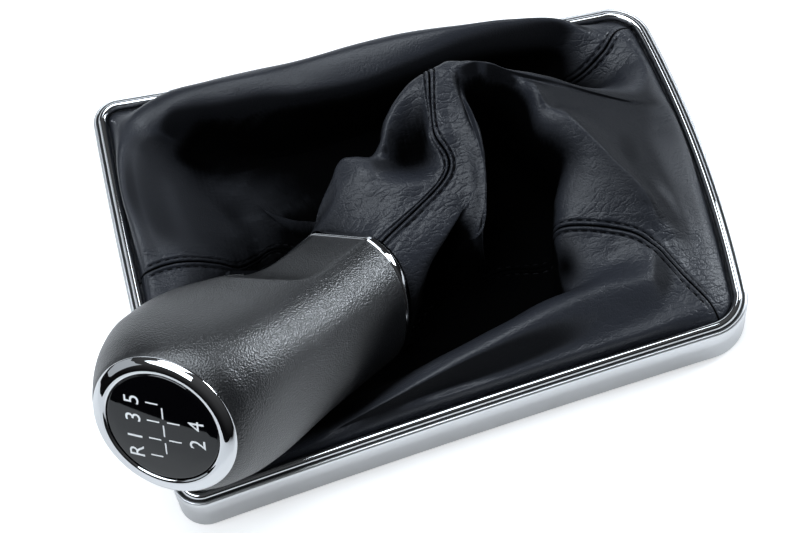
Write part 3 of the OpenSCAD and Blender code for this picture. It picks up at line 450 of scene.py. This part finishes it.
def leather_material():
    """Black leather: cracks in the creases, pores, and painted shade where little light comes, as a
    darker colour and less sheen.
    """
    m = material("leather", (0.013, 0.0145, 0.019), 0.43, spec=0.5)
    place = node(m, "ShaderNodeTexCoord")
    crease = node(m, "ShaderNodeAttribute", attribute_name="crease")
    deep = node(m, "ShaderNodeAttribute", attribute_name="deep")

    warp = node(m, "ShaderNodeTexNoise", Scale=160.0, Detail=2.0)
    bent = node(m, "ShaderNodeVectorMath", operation="MULTIPLY_ADD")
    bent.inputs[1].default_value = (0.004, 0.004, 0.004)
    wire(m, place, "Object", warp, "Vector")
    wire(m, warp, "Color", bent, 0)
    wire(m, place, "Object", bent, 2)
    stretch = node(m, "ShaderNodeMapping", Rotation=(0, 0, 0.12), Scale=(0.45, 1.0, 0.8))
    wire(m, bent, "Vector", stretch, "Vector")
    cracks = node(m, "ShaderNodeTexVoronoi", Scale=520.0, feature="DISTANCE_TO_EDGE")
    wire(m, stretch, "Vector", cracks, "Vector")
    plates = maths(m, "SMOOTH_MIN", (cracks, "Distance"), 0.16, 0.14)
    plates = maths(m, "MULTIPLY", (plates, 0), (crease, "Fac"))

    pores = node(m, "ShaderNodeTexVoronoi", Scale=1500.0)
    wire(m, place, "Object", pores, "Vector")
    pits = maths(m, "MINIMUM", (pores, "Distance"), 0.6)
    grain = node(m, "ShaderNodeTexNoise", Scale=2400.0, Detail=3.0, Roughness=0.6)
    wire(m, place, "Object", grain, "Vector")

    surface = bump(m, plates, 0, 0.0010, 0.7)
    surface = bump(m, pits, 0, 0.00012, 0.7, surface)
    surface = bump(m, grain, "Fac", 0.00012, 0.6, surface)
    wire(m, surface, "Normal", shader(m), "Normal")

    # painted shade: where the shade attribute is high the sheen drops and the leather gets rougher
    for socket, plain, shaded in (("Specular IOR Level", 0.36, 0.02), ("Roughness", 0.38, 0.9)):
        mapped = node(m, "ShaderNodeMapRange", **{"To Min": plain, "To Max": shaded})
        wire(m, deep, "Fac", mapped, "Value")
        wire(m, mapped, "Result", shader(m), socket)
    # base colour mixed from the lit leather to a painted near-black shade
    shade_tint = node(m, "ShaderNodeMix", data_type="RGBA")
    shade_tint.inputs[6].default_value = (0.018, 0.0198, 0.0255, 1)
    shade_tint.inputs[7].default_value = (0.0004, 0.0004, 0.0005, 1)
    wire(m, deep, "Fac", shade_tint, 0)
    wire(m, shade_tint, 2, shader(m), "Base Color")
    return m


CHROME = material("chrome", (0.62, 0.625, 0.635), 0.03, metal=1.0)
SATIN = material("satin", (0.66, 0.665, 0.675), 0.36, metal=1.0)
GROOVE_BLACK = material("groove_black", (0.004, 0.004, 0.005), 0.45)
CAP_BLACK = material("cap_black", (0.001, 0.001, 0.0015), 0.025)
PRINT_WHITE = material("print_white", (0.8, 0.8, 0.8), 0.4)
PLASTIC = material("plastic", (0.02, 0.02, 0.022), 0.45)
STEEL = material("steel", (0.6, 0.61, 0.62), 0.25, metal=1.0)
THREAD = material("thread", (0.0015, 0.0015, 0.002), 0.8, spec=0.1)
GRIP = grip_material()
LEATHER = leather_material()


# Console frame: bead, black groove and skirt
def console_frame():
    """Profile swept along the outline, with the groove in black and the skirt in satin."""
    z = GROOVE_Z
    profile = [
        (-BEAD_W, z - 2.2, 0), (-BEAD_W, z + 0.3, .5), (-2.55, z + 1.15, .5), (-1.7, z + 1.4, .5),
        (-0.95, z + 1.1, .5), (-0.42, z + 0.25, .2), (-0.3, z - 0.45, 0), (0.12, z - 0.5, 0),
        (0.3, z - 0.12, .2), (0.75, z - 0.02, .4), (1.2, z - 0.42, .5), (SKIRT_OUT, z - 1.3, .6),
        (SKIRT_OUT, SKIRT_Z + 0.1, 0), (1.3, SKIRT_Z, 0), (-0.04, SKIRT_Z, 0),
        (-0.14, SKIRT_Z + 0.1, 0), (-0.14, z - 2.7, 0)]
    profile = rounded([p[:2] for p in profile], [p[2] for p in profile], 4)
    x, height = ((profile + np.roll(profile, -1, 0)) / 2).T
    in_groove = (x > -0.45) & (x < 0.26) & (height > z - 0.7) & (height < z + 0.2)
    index = in_groove.astype(int)
    index[x > 0.24] = 2
    n, m = len(RIM), len(profile)
    plan = RIM[:, None, :] + RIM_OUT[:, None, :] * profile[None, :, :1]
    verts = np.concatenate([plan, np.broadcast_to(profile[None, :, 1:2], (n, m, 1))], -1)
    add_mesh("bezel", verts.reshape(-1, 3), grid_faces(n, m, True, True, flip=True),
             [CHROME, GROOVE_BLACK, SATIN], ("bezel_frame",), np.tile(index, n))


console_frame()

# Gaiter: a smooth net of rows (hem, then guide points) and columns (spokes)
SPOKE_N = len(SPOKES)
SPOKE_SHARE = np.array(SPOKE_AT, float) / 1000
NECK_ENDS = from_knob(np.concatenate([np.array(NECK_AT, float) * NECK_SCALE,
                                      np.full((SPOKE_N, 1), NECK_Z)], 1))
GUIDES = np.concatenate([np.array(SPOKES, float), NECK_ENDS[:, None, :]], 1)
COLUMNS = 26
SEAM_COLUMNS = 56
ROWS = 18
HEM_STEPS = 6
HEM = len(HEM_ROWS)


def spoke_share(i):
    return SPOKE_SHARE[np.mod(i, SPOKE_N)] + np.floor_divide(i, SPOKE_N)


def column_places():
    """Places round the gaiter, counted in spokes, closer together beside a seam."""
    out = []
    for i in range(SPOKE_N):
        beside_seam = any((i - s) % SPOKE_N in (0, SPOKE_N - 1) for s in SEAMS)
        n = SEAM_COLUMNS if beside_seam else COLUMNS
        out.append(i + np.arange(n) / n)
    return np.concatenate(out + [[float(SPOKE_N)]])


def columns(u):
    """Hem and guide points of the columns at places u."""
    i = np.floor(u).astype(int)
    t = u - i
    share = spoke_share(i) * (1 - t) + spoke_share(i + 1) * t
    hem = [np.concatenate([rim_point(share, offset), np.full((len(u), 1), height)], 1)
           for offset, height in HEM_ROWS]
    near = [GUIDES[(i + k) % SPOKE_N] for k in (-1, 0, 1, 2)]
    return np.concatenate([np.stack(hem, 1), spline(*near, t[:, None, None])], 1)


def along(points, v):
    """Points of each column at places v, counted in its own points."""
    i = np.minimum(np.floor(v).astype(int), points.shape[1] - 2)
    t = (v - i)[None, :, None]
    longer = np.concatenate([2 * points[:, :1] - points[:, 1:2], points,
                             2 * points[:, -1:] - points[:, -2:-1]], 1)
    return spline(longer[:, i], longer[:, i + 1], longer[:, i + 2], longer[:, i + 3], t)


def run_lengths(points, axis):
    """Length run from the first row or column to each point."""
    step = np.linalg.norm(np.diff(points, axis=axis), axis=2)
    return np.insert(np.cumsum(step, axis), 0, 0, axis)


AROUND_AT = column_places()
UP_AT = np.concatenate([np.arange(HEM * HEM_STEPS) / HEM_STEPS,
                        HEM + np.arange(0, (GUIDES.shape[1] - 1) * ROWS + 1) / ROWS])
NET = along(columns(AROUND_AT), UP_AT)
RING = np.concatenate([NET[-2:-1], NET, NET[1:2]], 0)
NORMAL = unit(np.cross(np.gradient(NET, axis=1), RING[2:] - RING[:-2]))
RUN_U, RUN_V = run_lengths(NET, 0), run_lengths(NET, 1)


def column_of(spoke):
    return int(np.searchsorted(AROUND_AT, spoke - 1e-6))


def seam_distance():
    """Distance of every point to its nearest seam along its own row, and the side it lies on."""
    total = RUN_U[-1]
    nearest = np.full(NET.shape[:2], 1e9)
    side = np.zeros(NET.shape[:2])
    for s in SEAMS:
        d = RUN_U - RUN_U[column_of(s)]
        d = np.where(d > total / 2, d - total, d)
        d = np.where(d < -total / 2, d + total, d)
        closer = np.abs(d) < nearest
        nearest = np.where(closer, np.abs(d), nearest)
        side = np.where(closer, np.sign(d), side)
    return nearest, side


SEAM_DIST, SEAM_SIDE = seam_distance()


def above(low, high):
    """Share from 0 to 1 between two heights on the spokes, for every row."""
    return ease(low, high, UP_AT)[None, :]


def seam_relief():
    """Deep line at the seam, a puff, a groove for the stitches and puckered leather beside it."""
    pucker = noise(np.stack([np.full_like(RUN_V, 3.1), RUN_V / 3.4, SEAM_SIDE * 5.3], -1), 3)
    d = SEAM_DIST
    return above(2.6, 3.6) * (-0.75 * hill(d, 0, 0.26)
                              + 0.42 * hill(d, 0.52 * STITCH, 0.34 * STITCH)
                              - 0.7 * hill(d, STITCH, 0.3)
                              + 0.10 * hill(d, STITCH + 1.0, 0.8)
                              + 0.2 * pucker * hill(d, STITCH + 1.4, 1.9))


def crease_share():
    """How wrinkled each place is: most near the seams and the neck, least on the far roll."""
    share = 0.35 + 0.65 * np.exp(-SEAM_DIST / 9) + 0.25 * noise(NET / 9.0, 11)
    share = np.clip(share + 0.35 * above(8.5, 11.5), 0.12, 1.2)
    far_roll = ((AROUND_AT > 0.5) & (AROUND_AT < 13))[:, None] * (1 - above(5.5, 7))
    return share * (1 - 0.75 * far_roll)


def wrinkles():
    drift = 0.4 * noise(NET / 8.0, 4)[..., None]
    folds = noise(NET / [11.0, 3.4, 4.2] + drift, 5)
    inside = above(2.2, 4.0) * (1 - above(12.4, 13))
    return inside * CREASE * (0.34 * folds + 0.10 * noise(NET / 3.2, 8))


CREASE = crease_share()
SKIN = NET + NORMAL * (seam_relief() + wrinkles())[..., None]

# Height map of the gaiter and the knob, to find how much open sky each place sees, for the shade
# painted on the leather
CELL, MAP_X, MAP_Y, MAP_SIZE = 1.5, -110.0, -90.0, (150, 120)
SKY_TURNS = 16
SKY_REACH = (3, 4.5, 6, 8, 10, 13, 16, 20, 25, 30, 36, 44)


def map_cell(x, y):
    return (np.clip(((x - MAP_X) / CELL).astype(int), 0, MAP_SIZE[0] - 1),
            np.clip(((y - MAP_Y) / CELL).astype(int), 0, MAP_SIZE[1] - 1))


def open_sky():
    heights = np.zeros(MAP_SIZE)
    turns = np.linspace(0, 2 * math.pi, 90)
    knob = np.concatenate([
        np.concatenate([grip_section(row, turns),
                        np.full((90, 1), -row[0] * SHELL_END / SECTION_END)], 1)
        for row in GRIP_ROWS])
    for points in (NET.reshape(-1, 3), from_knob(knob)):
        np.maximum.at(heights, map_cell(points[:, 0], points[:, 1]), points[:, 2])
    sky = np.zeros(NET.shape[:2])
    for a in np.arange(SKY_TURNS) * 2 * math.pi / SKY_TURNS:
        slope = np.zeros(NET.shape[:2])
        for d in SKY_REACH:
            seen = heights[map_cell(NET[..., 0] + d * math.cos(a), NET[..., 1] + d * math.sin(a))]
            slope = np.maximum(slope, (seen - NET[..., 2]) / d)
        sky += 1 / (1 + slope ** 2) / SKY_TURNS
    return sky


def painted_shade_share():
    """Share of painted shade on the leather: in hollows, on slopes that face the tail or the near side,
    at the wells and along the seams.
    """
    clear = above(2.8, 3.6)
    # painted shade in hollows, by how little open sky a place sees
    shaded = (1 - ease(0.5, 0.86, open_sky())) * above(4.0, 5.5)
    # painted shade on slopes that face the tail and on slopes that face the near side
    shaded = np.maximum(shaded, 0.6 * ease(0.25, 0.55, NORMAL[..., 0]) * clear)
    shaded = np.maximum(shaded, 0.8 * ease(0.66, 0.85, -NORMAL[..., 1]) * clear)
    # painted shade at the wells
    for x, y, half_x, half_y, share in SHADE_WELLS:
        shade_spot = hill(NET[..., 0], x, half_x) * hill(NET[..., 1], y, half_y)
        shaded = np.maximum(shaded, share * shade_spot * clear)
    # painted shade in the line of each seam
    shaded[SEAM_DIST < 0.3] = 1.0
    return shaded


PAINTED_SHADE = painted_shade_share()


def panel(name, first, last, stands_for):
    """One piece of leather between two seams."""
    a, b = column_of(first), column_of(last) + 1
    n, m = b - a, NET.shape[1]
    ob = add_mesh(name, SKIN[a:b].reshape(-1, 3), grid_faces(n, m), [LEATHER],
                  (stands_for,))
    me = ob.data
    # the cut's own directions, kept as a UV layer
    across = 0.5 * RUN_U[a:b] + 0.5 * np.linspace(0, (last - first) * 15.0, n)[:, None]
    flat = np.stack([across, RUN_V[a:b]], -1).reshape(-1, 2)
    loops = np.zeros(len(me.loops), np.int32)
    me.loops.foreach_get("vertex_index", loops)
    me.uv_layers.new(name="cut").data.foreach_set("uv", flat[loops].astype(np.float32).ravel())
    # the crease share and the painted shade go to the leather material as point attributes
    for attribute, values in (("crease", CREASE), ("deep", PAINTED_SHADE)):
        layer = me.attributes.new(attribute, "FLOAT", "POINT")
        layer.data.foreach_set("value", values[a:b].astype(np.float32).ravel())


panel("leather_far", SEAMS[0], SEAMS[1], "panel_far")
panel("leather_tail", SEAMS[1], SEAMS[2], "panel_right")
panel("leather_near", SEAMS[2], SPOKE_N, "panel_near")

# Stitches: short lengths of thread that dip into the leather at both ends
STITCH_PITCH, STITCH_L, STITCH_R, STITCH_START = 2.9, 2.1, 0.30, 0.4
STITCH_LIFT = np.array([-0.95, -0.5, -0.38, -0.38, -0.5, -0.95])
STITCH_SIDES = 6


def row_beside(column, way, rows):
    """Points and normals of the net at the stitches' distance from a column."""
    points, normals = [], []
    n = NET.shape[0] - 1
    for r in rows:
        gone, j = 0.0, column
        while True:
            k = (j + way) % n
            step = np.linalg.norm(NET[k, r] - NET[j % n, r])
            if gone + step >= STITCH:
                t = (STITCH - gone) / step
                points.append(NET[j % n, r] * (1 - t) + NET[k, r] * t)
                normals.append(NORMAL[k, r])
                break
            gone, j = gone + step, k
    return np.array(points), np.array(normals)


def read_along(at, run, values):
    return np.stack([np.interp(at, run, values[:, i]) for i in range(3)], 1)


def stitches(name, seam, stands_for):
    """Two rows of stitches, one on each side of a seam."""
    verts, faces = [], []
    rows = range(int(np.searchsorted(UP_AT, 3.05)), int(np.searchsorted(UP_AT, 12.85)))
    n = len(STITCH_LIFT)
    for way in (1, -1):
        points, normals = row_beside(column_of(seam), way, rows)
        run = np.concatenate([[0], np.cumsum(np.linalg.norm(np.diff(points, axis=0), axis=1))])
        for k in range(int(run[-1] / STITCH_PITCH)):
            at = k * STITCH_PITCH + STITCH_START + np.linspace(0, STITCH_L, n)
            up = unit(read_along(at, run, normals))
            middle = read_along(at, run, points) + up * STITCH_LIFT[:, None]
            side = unit(np.cross(up, unit(np.gradient(middle, axis=0))))
            faces += (grid_faces(n, STITCH_SIDES, False, True) + len(verts)).tolist()
            for i in range(n):
                for a in np.arange(STITCH_SIDES) * 2 * math.pi / STITCH_SIDES:
                    verts.append(middle[i] + STITCH_R * (side[i] * math.cos(a)
                                                         + up[i] * math.sin(a)))
    add_mesh(name, verts, faces, [THREAD], (stands_for,))


stitches("stitches_a", SEAMS[0], "thread_a")
stitches("stitches_b", SEAMS[1], "thread_b")
stitches("stitches_c", SEAMS[2], "thread_c")

# Knob
POCKET_LOW, POCKET_HIGH = (18.1, -7.2, -SHELL_END - 1), (40, 7.2, -59)  # room for the trigger
LEAN_DEPTH = 60  # the grip's sections lean with the head down to this depth


def box_mesh(name, low, high):
    corners = [(x, y, z) for x in (low[0], high[0]) for y in (low[1], high[1])
               for z in (low[2], high[2])]
    faces = [(0, 1, 3, 2), (4, 6, 7, 5), (0, 4, 5, 1), (2, 3, 7, 6), (0, 2, 6, 4), (1, 5, 7, 3)]
    me = bpy.data.meshes.new(name)
    me.from_pydata(((from_knob(corners) + SHIFT) * MM).tolist(), [], faces)
    ob = bpy.data.objects.new(name, me)
    bpy.context.scene.collection.objects.link(ob)
    return ob


def cut_pocket(ob):
    cutter = box_mesh("cutter", POCKET_LOW, POCKET_HIGH)
    mod = ob.modifiers.new("cut", "BOOLEAN")
    mod.operation, mod.object, mod.solver = "DIFFERENCE", cutter, "EXACT"
    graph = bpy.context.evaluated_depsgraph_get()
    me = bpy.data.meshes.new_from_object(ob.evaluated_get(graph))
    ob.modifiers.clear()
    ob.data = me
    bpy.data.objects.remove(cutter)
    me.set_sharp_from_angle(angle=math.radians(40))


def grip_shell():
    rows = []
    for row in GRIP_ROWS:
        p = grip_section(row, GRIP_TURN)
        z = -row[0] * (SHELL_END + 0.5) / SECTION_END
        tilt = math.radians(HEAD_LEAN) * min(max(1 + z / LEAN_DEPTH, 0), 1)
        rows.append(np.stack([p[:, 0] * math.cos(tilt), p[:, 1], z + p[:, 0] * math.sin(tilt)], 1))
    rows = np.array(rows)
    rows[:, :, 2] = np.maximum(rows[:, :, 2], -SHELL_END)
    top = rows[0] * [0.93, 0.93, 1] + [0, 0, -0.3]
    low = rows[-1] * [0.8, 0.8, 1]
    rows = np.concatenate([top[None], rows, low[None]], 0)
    n = rows.shape[0]
    faces = grid_faces(n, AROUND, False, True, flip=True).tolist()
    faces.append(list(range(AROUND)))
    faces.append([(n - 1) * AROUND + k for k in range(AROUND)][::-1])
    cut_pocket(add_mesh("grip_shell", from_knob(rows.reshape(-1, 3)), faces, [GRIP],
                        ("knob_shell",)))


def revolve(name, profile, mat, stands_for, n=192):
    """Profile of radius and height turned about the head's axis."""
    profile = np.asarray(profile, float)
    a = np.linspace(0, 2 * math.pi, n, endpoint=False)[:, None]
    r = profile[None, :, 0]
    points = np.stack([r * np.cos(a), r * np.sin(a),
                       np.broadcast_to(profile[None, :, 1], (n, len(profile)))], -1)
    add_mesh(name, from_head(points.reshape(-1, 3)),
             grid_faces(n, len(profile), True, False, flip=True), [mat], (stands_for,))


RING_TOP = 2.3
CAP_EDGE = RING_TOP - 0.35
CAP_CROWN = 0.6


def cap_height(r):
    return CAP_EDGE + CAP_CROWN * (1 - (r / CAP_R) ** 2)


def head():
    """Chrome ring with a bevelled foot and a rounded crown, and the crowned cap inside it."""
    ring = rounded([(21.1, 0.1), (RING_R, 0.12), (RING_R, 0.6), (21.9, 1.25), (20.6, 2.0),
                    (19.2, RING_TOP), (18.2, RING_TOP - 0.05), (CAP_R + 0.12, 1.95),
                    (CAP_R + 0.1, 0.6)],
                   [0, .1, .3, .7, .8, .8, .5, .15, 0], 6)
    revolve("ring", ring, CHROME, "head_ring")
    edge = rounded([(CAP_R, 0.8), (CAP_R, CAP_EDGE - 0.45), (CAP_R - 0.5, CAP_EDGE),
                    (CAP_R - 2, CAP_EDGE + 0.1)], [0, .2, .3, 0], 4)
    crown = [(r, cap_height(r)) for r in np.linspace(CAP_R - 2.4, 0.01, 16)]
    revolve("cap", [(CAP_R, 0.6)] + [tuple(p) for p in edge] + crown, CAP_BLACK,
            "pattern_cap")


PRINT_LIFT = 0.03
BAR_STEPS = 6


def print_points(x, y):
    """Points of the print, laid just over the cap's crown."""
    return np.stack([x, y, cap_height(np.hypot(x, y)) + PRINT_LIFT], 1)


def gate_lines():
    verts, faces = [], []
    for x0, y0, x1, y1 in BARS:
        start, end = np.array([x0, y0]), np.array([x1, y1])
        d = unit(end - start)
        half = np.array([-d[1], d[0]]) * BAR_W / 2
        o = len(verts)
        for t in np.linspace(0, 1, BAR_STEPS):
            middle = start * (1 - t) + end * t
            verts += [middle + half, middle - half]
        faces += [[o + 2 * i, o + 2 * i + 1, o + 2 * i + 3, o + 2 * i + 2]
                  for i in range(BAR_STEPS - 1)]
    verts = np.array(verts)
    add_mesh("gate_lines", from_head(print_points(verts[:, 0], verts[:, 1])), faces,
             [PRINT_WHITE], smooth=False)


def digit(text, x, y):
    """One printed sign; its top points to the front, its left to +y."""
    curve = bpy.data.curves.new("digit_" + text, "FONT")
    curve.body, curve.size, curve.resolution_u = text, DIGIT_SIZE, 8
    curve.align_x, curve.align_y = "CENTER", "CENTER"
    ob = bpy.data.objects.new("digit_tmp", curve)
    bpy.context.scene.collection.objects.link(ob)
    graph = bpy.context.evaluated_depsgraph_get()
    me = bpy.data.meshes.new_from_object(ob.evaluated_get(graph))
    points = np.array([v.co for v in me.vertices])
    faces = [list(p.vertices) for p in me.polygons]
    bpy.data.objects.remove(ob)
    points = points - (points.max(0) + points.min(0)) / 2
    placed = print_points(x + points[:, 1], y - points[:, 0])
    add_mesh("digit_" + text, from_head(placed), faces, [PRINT_WHITE],
             smooth=False)


def collar():
    """Chrome band below the grip: share of the grip's last section, and height below its end."""
    profile = rounded([(0.80, -0.1), (1.0, -0.1), (1.02, -0.45), (1.02, -2.4), (0.995, -2.9),
                       (0.80, -2.9)], [0, .02, .3, .5, .3, 0], 5)
    points = [[(x * share, y * share, -SHELL_END + height) for share, height in profile]
              for x, y in grip_section(GRIP_ROWS[-1], GRIP_TURN)]
    add_mesh("collar", from_knob(np.array(points).reshape(-1, 3)),
             grid_faces(AROUND, len(profile), True, False, flip=True), [CHROME],
             ("base_collar",))


TONGUE_X, TONGUE_L = 19.9, 11.6
TONGUE_Z, TONGUE_RISE = -71.6, 7.2
TONGUE_HALF, TONGUE_T = 6.7, 1.1
TONGUE_ROWS, TONGUE_SIDES = 26, 19


def signed_power(x, power):
    return math.copysign(abs(x) ** power, x)


def tongue():
    """The trigger's tongue: a plate that curves up, with rounded edges and a round tip."""
    verts = []
    for t in np.arange(TONGUE_ROWS) / (TONGUE_ROWS - 1):
        tip = max((t - 0.55) / 0.46, 0)
        half = TONGUE_HALF * math.sqrt(1 - tip ** 2)
        for a in np.arange(TONGUE_SIDES) * 2 * math.pi / TONGUE_SIDES:
            verts.append((TONGUE_X + TONGUE_L * t + 0.5 * math.sin(a),
                          half * signed_power(math.cos(a), 0.35),
                          TONGUE_Z + TONGUE_RISE * t ** 0.8
                          + TONGUE_T * signed_power(math.sin(a), 0.6)))
    faces = grid_faces(TONGUE_ROWS, TONGUE_SIDES, False, True).tolist()
    faces.append(list(range(TONGUE_SIDES)))
    faces.append([(TONGUE_ROWS - 1) * TONGUE_SIDES + k for k in range(TONGUE_SIDES)][::-1])
    add_mesh("tongue", from_knob(verts), faces, [CHROME], body="lifter")


grip_shell()
head()
gate_lines()
for text, x, y in DIGITS:
    digit(text, x, y)
collar()
tongue()


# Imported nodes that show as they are
def paint(name, mat):
    me = NODE[name].data
    me.materials.clear()
    me.materials.append(mat)


for name in ("carrier_frame", "knob_core", "lever_bush", "lift_sleeve", "sleeve_guide",
             "gaiter_ring"):
    paint(name, PLASTIC)
for name in ("spring_clips", "return_spring"):
    paint(name, STEEL)
paint("lift_trigger", CHROME)

# Floor and surroundings, in metres
FLOOR_BACK, FLOOR_REACH = -0.36, 3
FLOOR_GLOW = 0.5  # what brings the lit floor up to white for the camera
FLOOR_SHINE = 0.15  # what chrome sees of the floor near the part
SHINE_NEAR, SHINE_FAR = 0.26, 0.32


def floor_material():
    """Floor that keeps the part's shadow and is white to the camera."""
    m = bpy.data.materials.new("floor")
    m.use_nodes = True
    m.node_tree.nodes.clear()
    ray = node(m, "ShaderNodeLightPath")
    place = node(m, "ShaderNodeTexCoord")
    reach = node(m, "ShaderNodeVectorMath", operation="LENGTH")
    wire(m, place, "Object", reach, 0)
    fade = node(m, "ShaderNodeMapRange", **{"From Min": SHINE_NEAR, "From Max": SHINE_FAR,
                                            "To Min": FLOOR_SHINE, "To Max": 0.0})
    wire(m, reach, "Value", fade, "Value")
    mirrored = maths(m, "MAXIMUM", (ray, "Is Glossy Ray"), (ray, "Is Transmission Ray"))
    shine = maths(m, "MULTIPLY", (mirrored, 0), (fade, "Result"))
    glow = maths(m, "MULTIPLY_ADD", (ray, "Is Camera Ray"), FLOOR_GLOW, (shine, 0))
    light = node(m, "ShaderNodeEmission")
    wire(m, glow, 0, light, "Strength")
    matt = node(m, "ShaderNodeBsdfDiffuse", Color=(0.8, 0.8, 0.8, 1))
    both = node(m, "ShaderNodeAddShader")
    wire(m, matt, 0, both, 0)
    wire(m, light, 0, both, 1)
    wire(m, both, 0, node(m, "ShaderNodeOutputMaterial"), 0)
    return m


def floor():
    me = bpy.data.meshes.new("floor")
    low, high = (FLOOR_BACK, -FLOOR_REACH), (FLOOR_REACH, FLOOR_REACH)
    me.from_pydata([(low[0], low[1], 0), (high[0], low[1], 0), (high[0], high[1], 0),
                    (low[0], high[1], 0)], [], [(0, 1, 2, 3)])
    me.materials.append(floor_material())
    ob = bpy.data.objects.new("floor", me)
    bpy.context.scene.collection.objects.link(ob)


def studio():
    """White to the camera, and a dim room that brightens upward to all else."""
    world = bpy.data.worlds.new("studio")
    bpy.context.scene.world = world
    world.use_nodes = True
    world.node_tree.nodes.clear()
    ray = node(world, "ShaderNodeLightPath")
    place = node(world, "ShaderNodeTexCoord")
    parts = node(world, "ShaderNodeSeparateXYZ")
    ramp = node(world, "ShaderNodeValToRGB")
    low, high = ramp.color_ramp.elements
    low.position, low.color = 0.0, (0.05, 0.05, 0.055, 1)
    high.position, high.color = 0.9, (0.75, 0.77, 0.8, 1)
    room = node(world, "ShaderNodeBackground", Strength=0.12)
    white = node(world, "ShaderNodeBackground", Strength=1.0, Color=(1, 1, 1, 1))
    mix = node(world, "ShaderNodeMixShader")
    wire(world, place, "Generated", parts, 0)
    wire(world, parts, "Z", ramp, 0)
    wire(world, ramp, 0, room, "Color")
    wire(world, ray, "Is Camera Ray", mix, 0)
    wire(world, room, 0, mix, 1)
    wire(world, white, 0, mix, 2)
    wire(world, mix, 0, node(world, "ShaderNodeOutputWorld"), 0)


COOL = (0.86, 0.93, 1.0)


def lamp(name, place, target_z, width, height, watts):
    """Area lamp that points at the part's middle, at a height of target_z."""
    data = bpy.data.lights.new(name, "AREA")
    data.shape, data.size, data.size_y = "RECTANGLE", width, height
    data.energy, data.color = watts, COOL
    ob = bpy.data.objects.new(name, data)
    bpy.context.scene.collection.objects.link(ob)
    ob.location = place
    toward = Vector((0, 0, target_z)) - Vector(place)
    ob.rotation_euler = toward.to_track_quat("-Z", "Y").to_euler()


floor()
studio()
lamp("top", (-0.10, 0.20, 1.15), 0.02, 0.8, 0.7, 10.5)
lamp("front", (-0.64, -0.34, 0.80), 0.02, 0.7, 0.4, 5.5)
lamp("left", (-1.1, 0.25, 0.30), 0.03, 1.2, 0.55, 1.2)
lamp("right", (0.98, 0.24, 0.46), 0.04, 0.35, 0.35, 9)
lamp("back", (0.10, 1.15, 0.28), 0.05, 1.1, 0.4, 2.2)

# Camera as solved from the frame's outline: turn as a vector, and the groove's middle as it sees it
CAMERA_TURN = Vector((2.62888, -0.34815, 0.00102))
CAMERA_SEES = np.array([4.5223, -12.47539, 685.80435])


def camera():
    data = bpy.data.cameras.new("camera")
    data.lens, data.sensor_width = 99.0, 36.0
    data.clip_start, data.clip_end = 0.05, 20
    ob = bpy.data.objects.new("camera", data)
    bpy.context.scene.collection.objects.link(ob)
    axes = np.array(Matrix.Rotation(CAMERA_TURN.length, 3, CAMERA_TURN.normalized()))
    place = (-axes.T @ CAMERA_SEES + [0, 0, GROOVE_Z] + SHIFT) * MM
    pose = np.eye(4)
    pose[:3, :3] = axes.T * [1, -1, -1]
    pose[:3, 3] = place
    ob.matrix_world = Matrix(pose.tolist())
    bpy.context.scene.camera = ob


camera()
bpy.context.scene.view_settings.view_transform = "Standard"
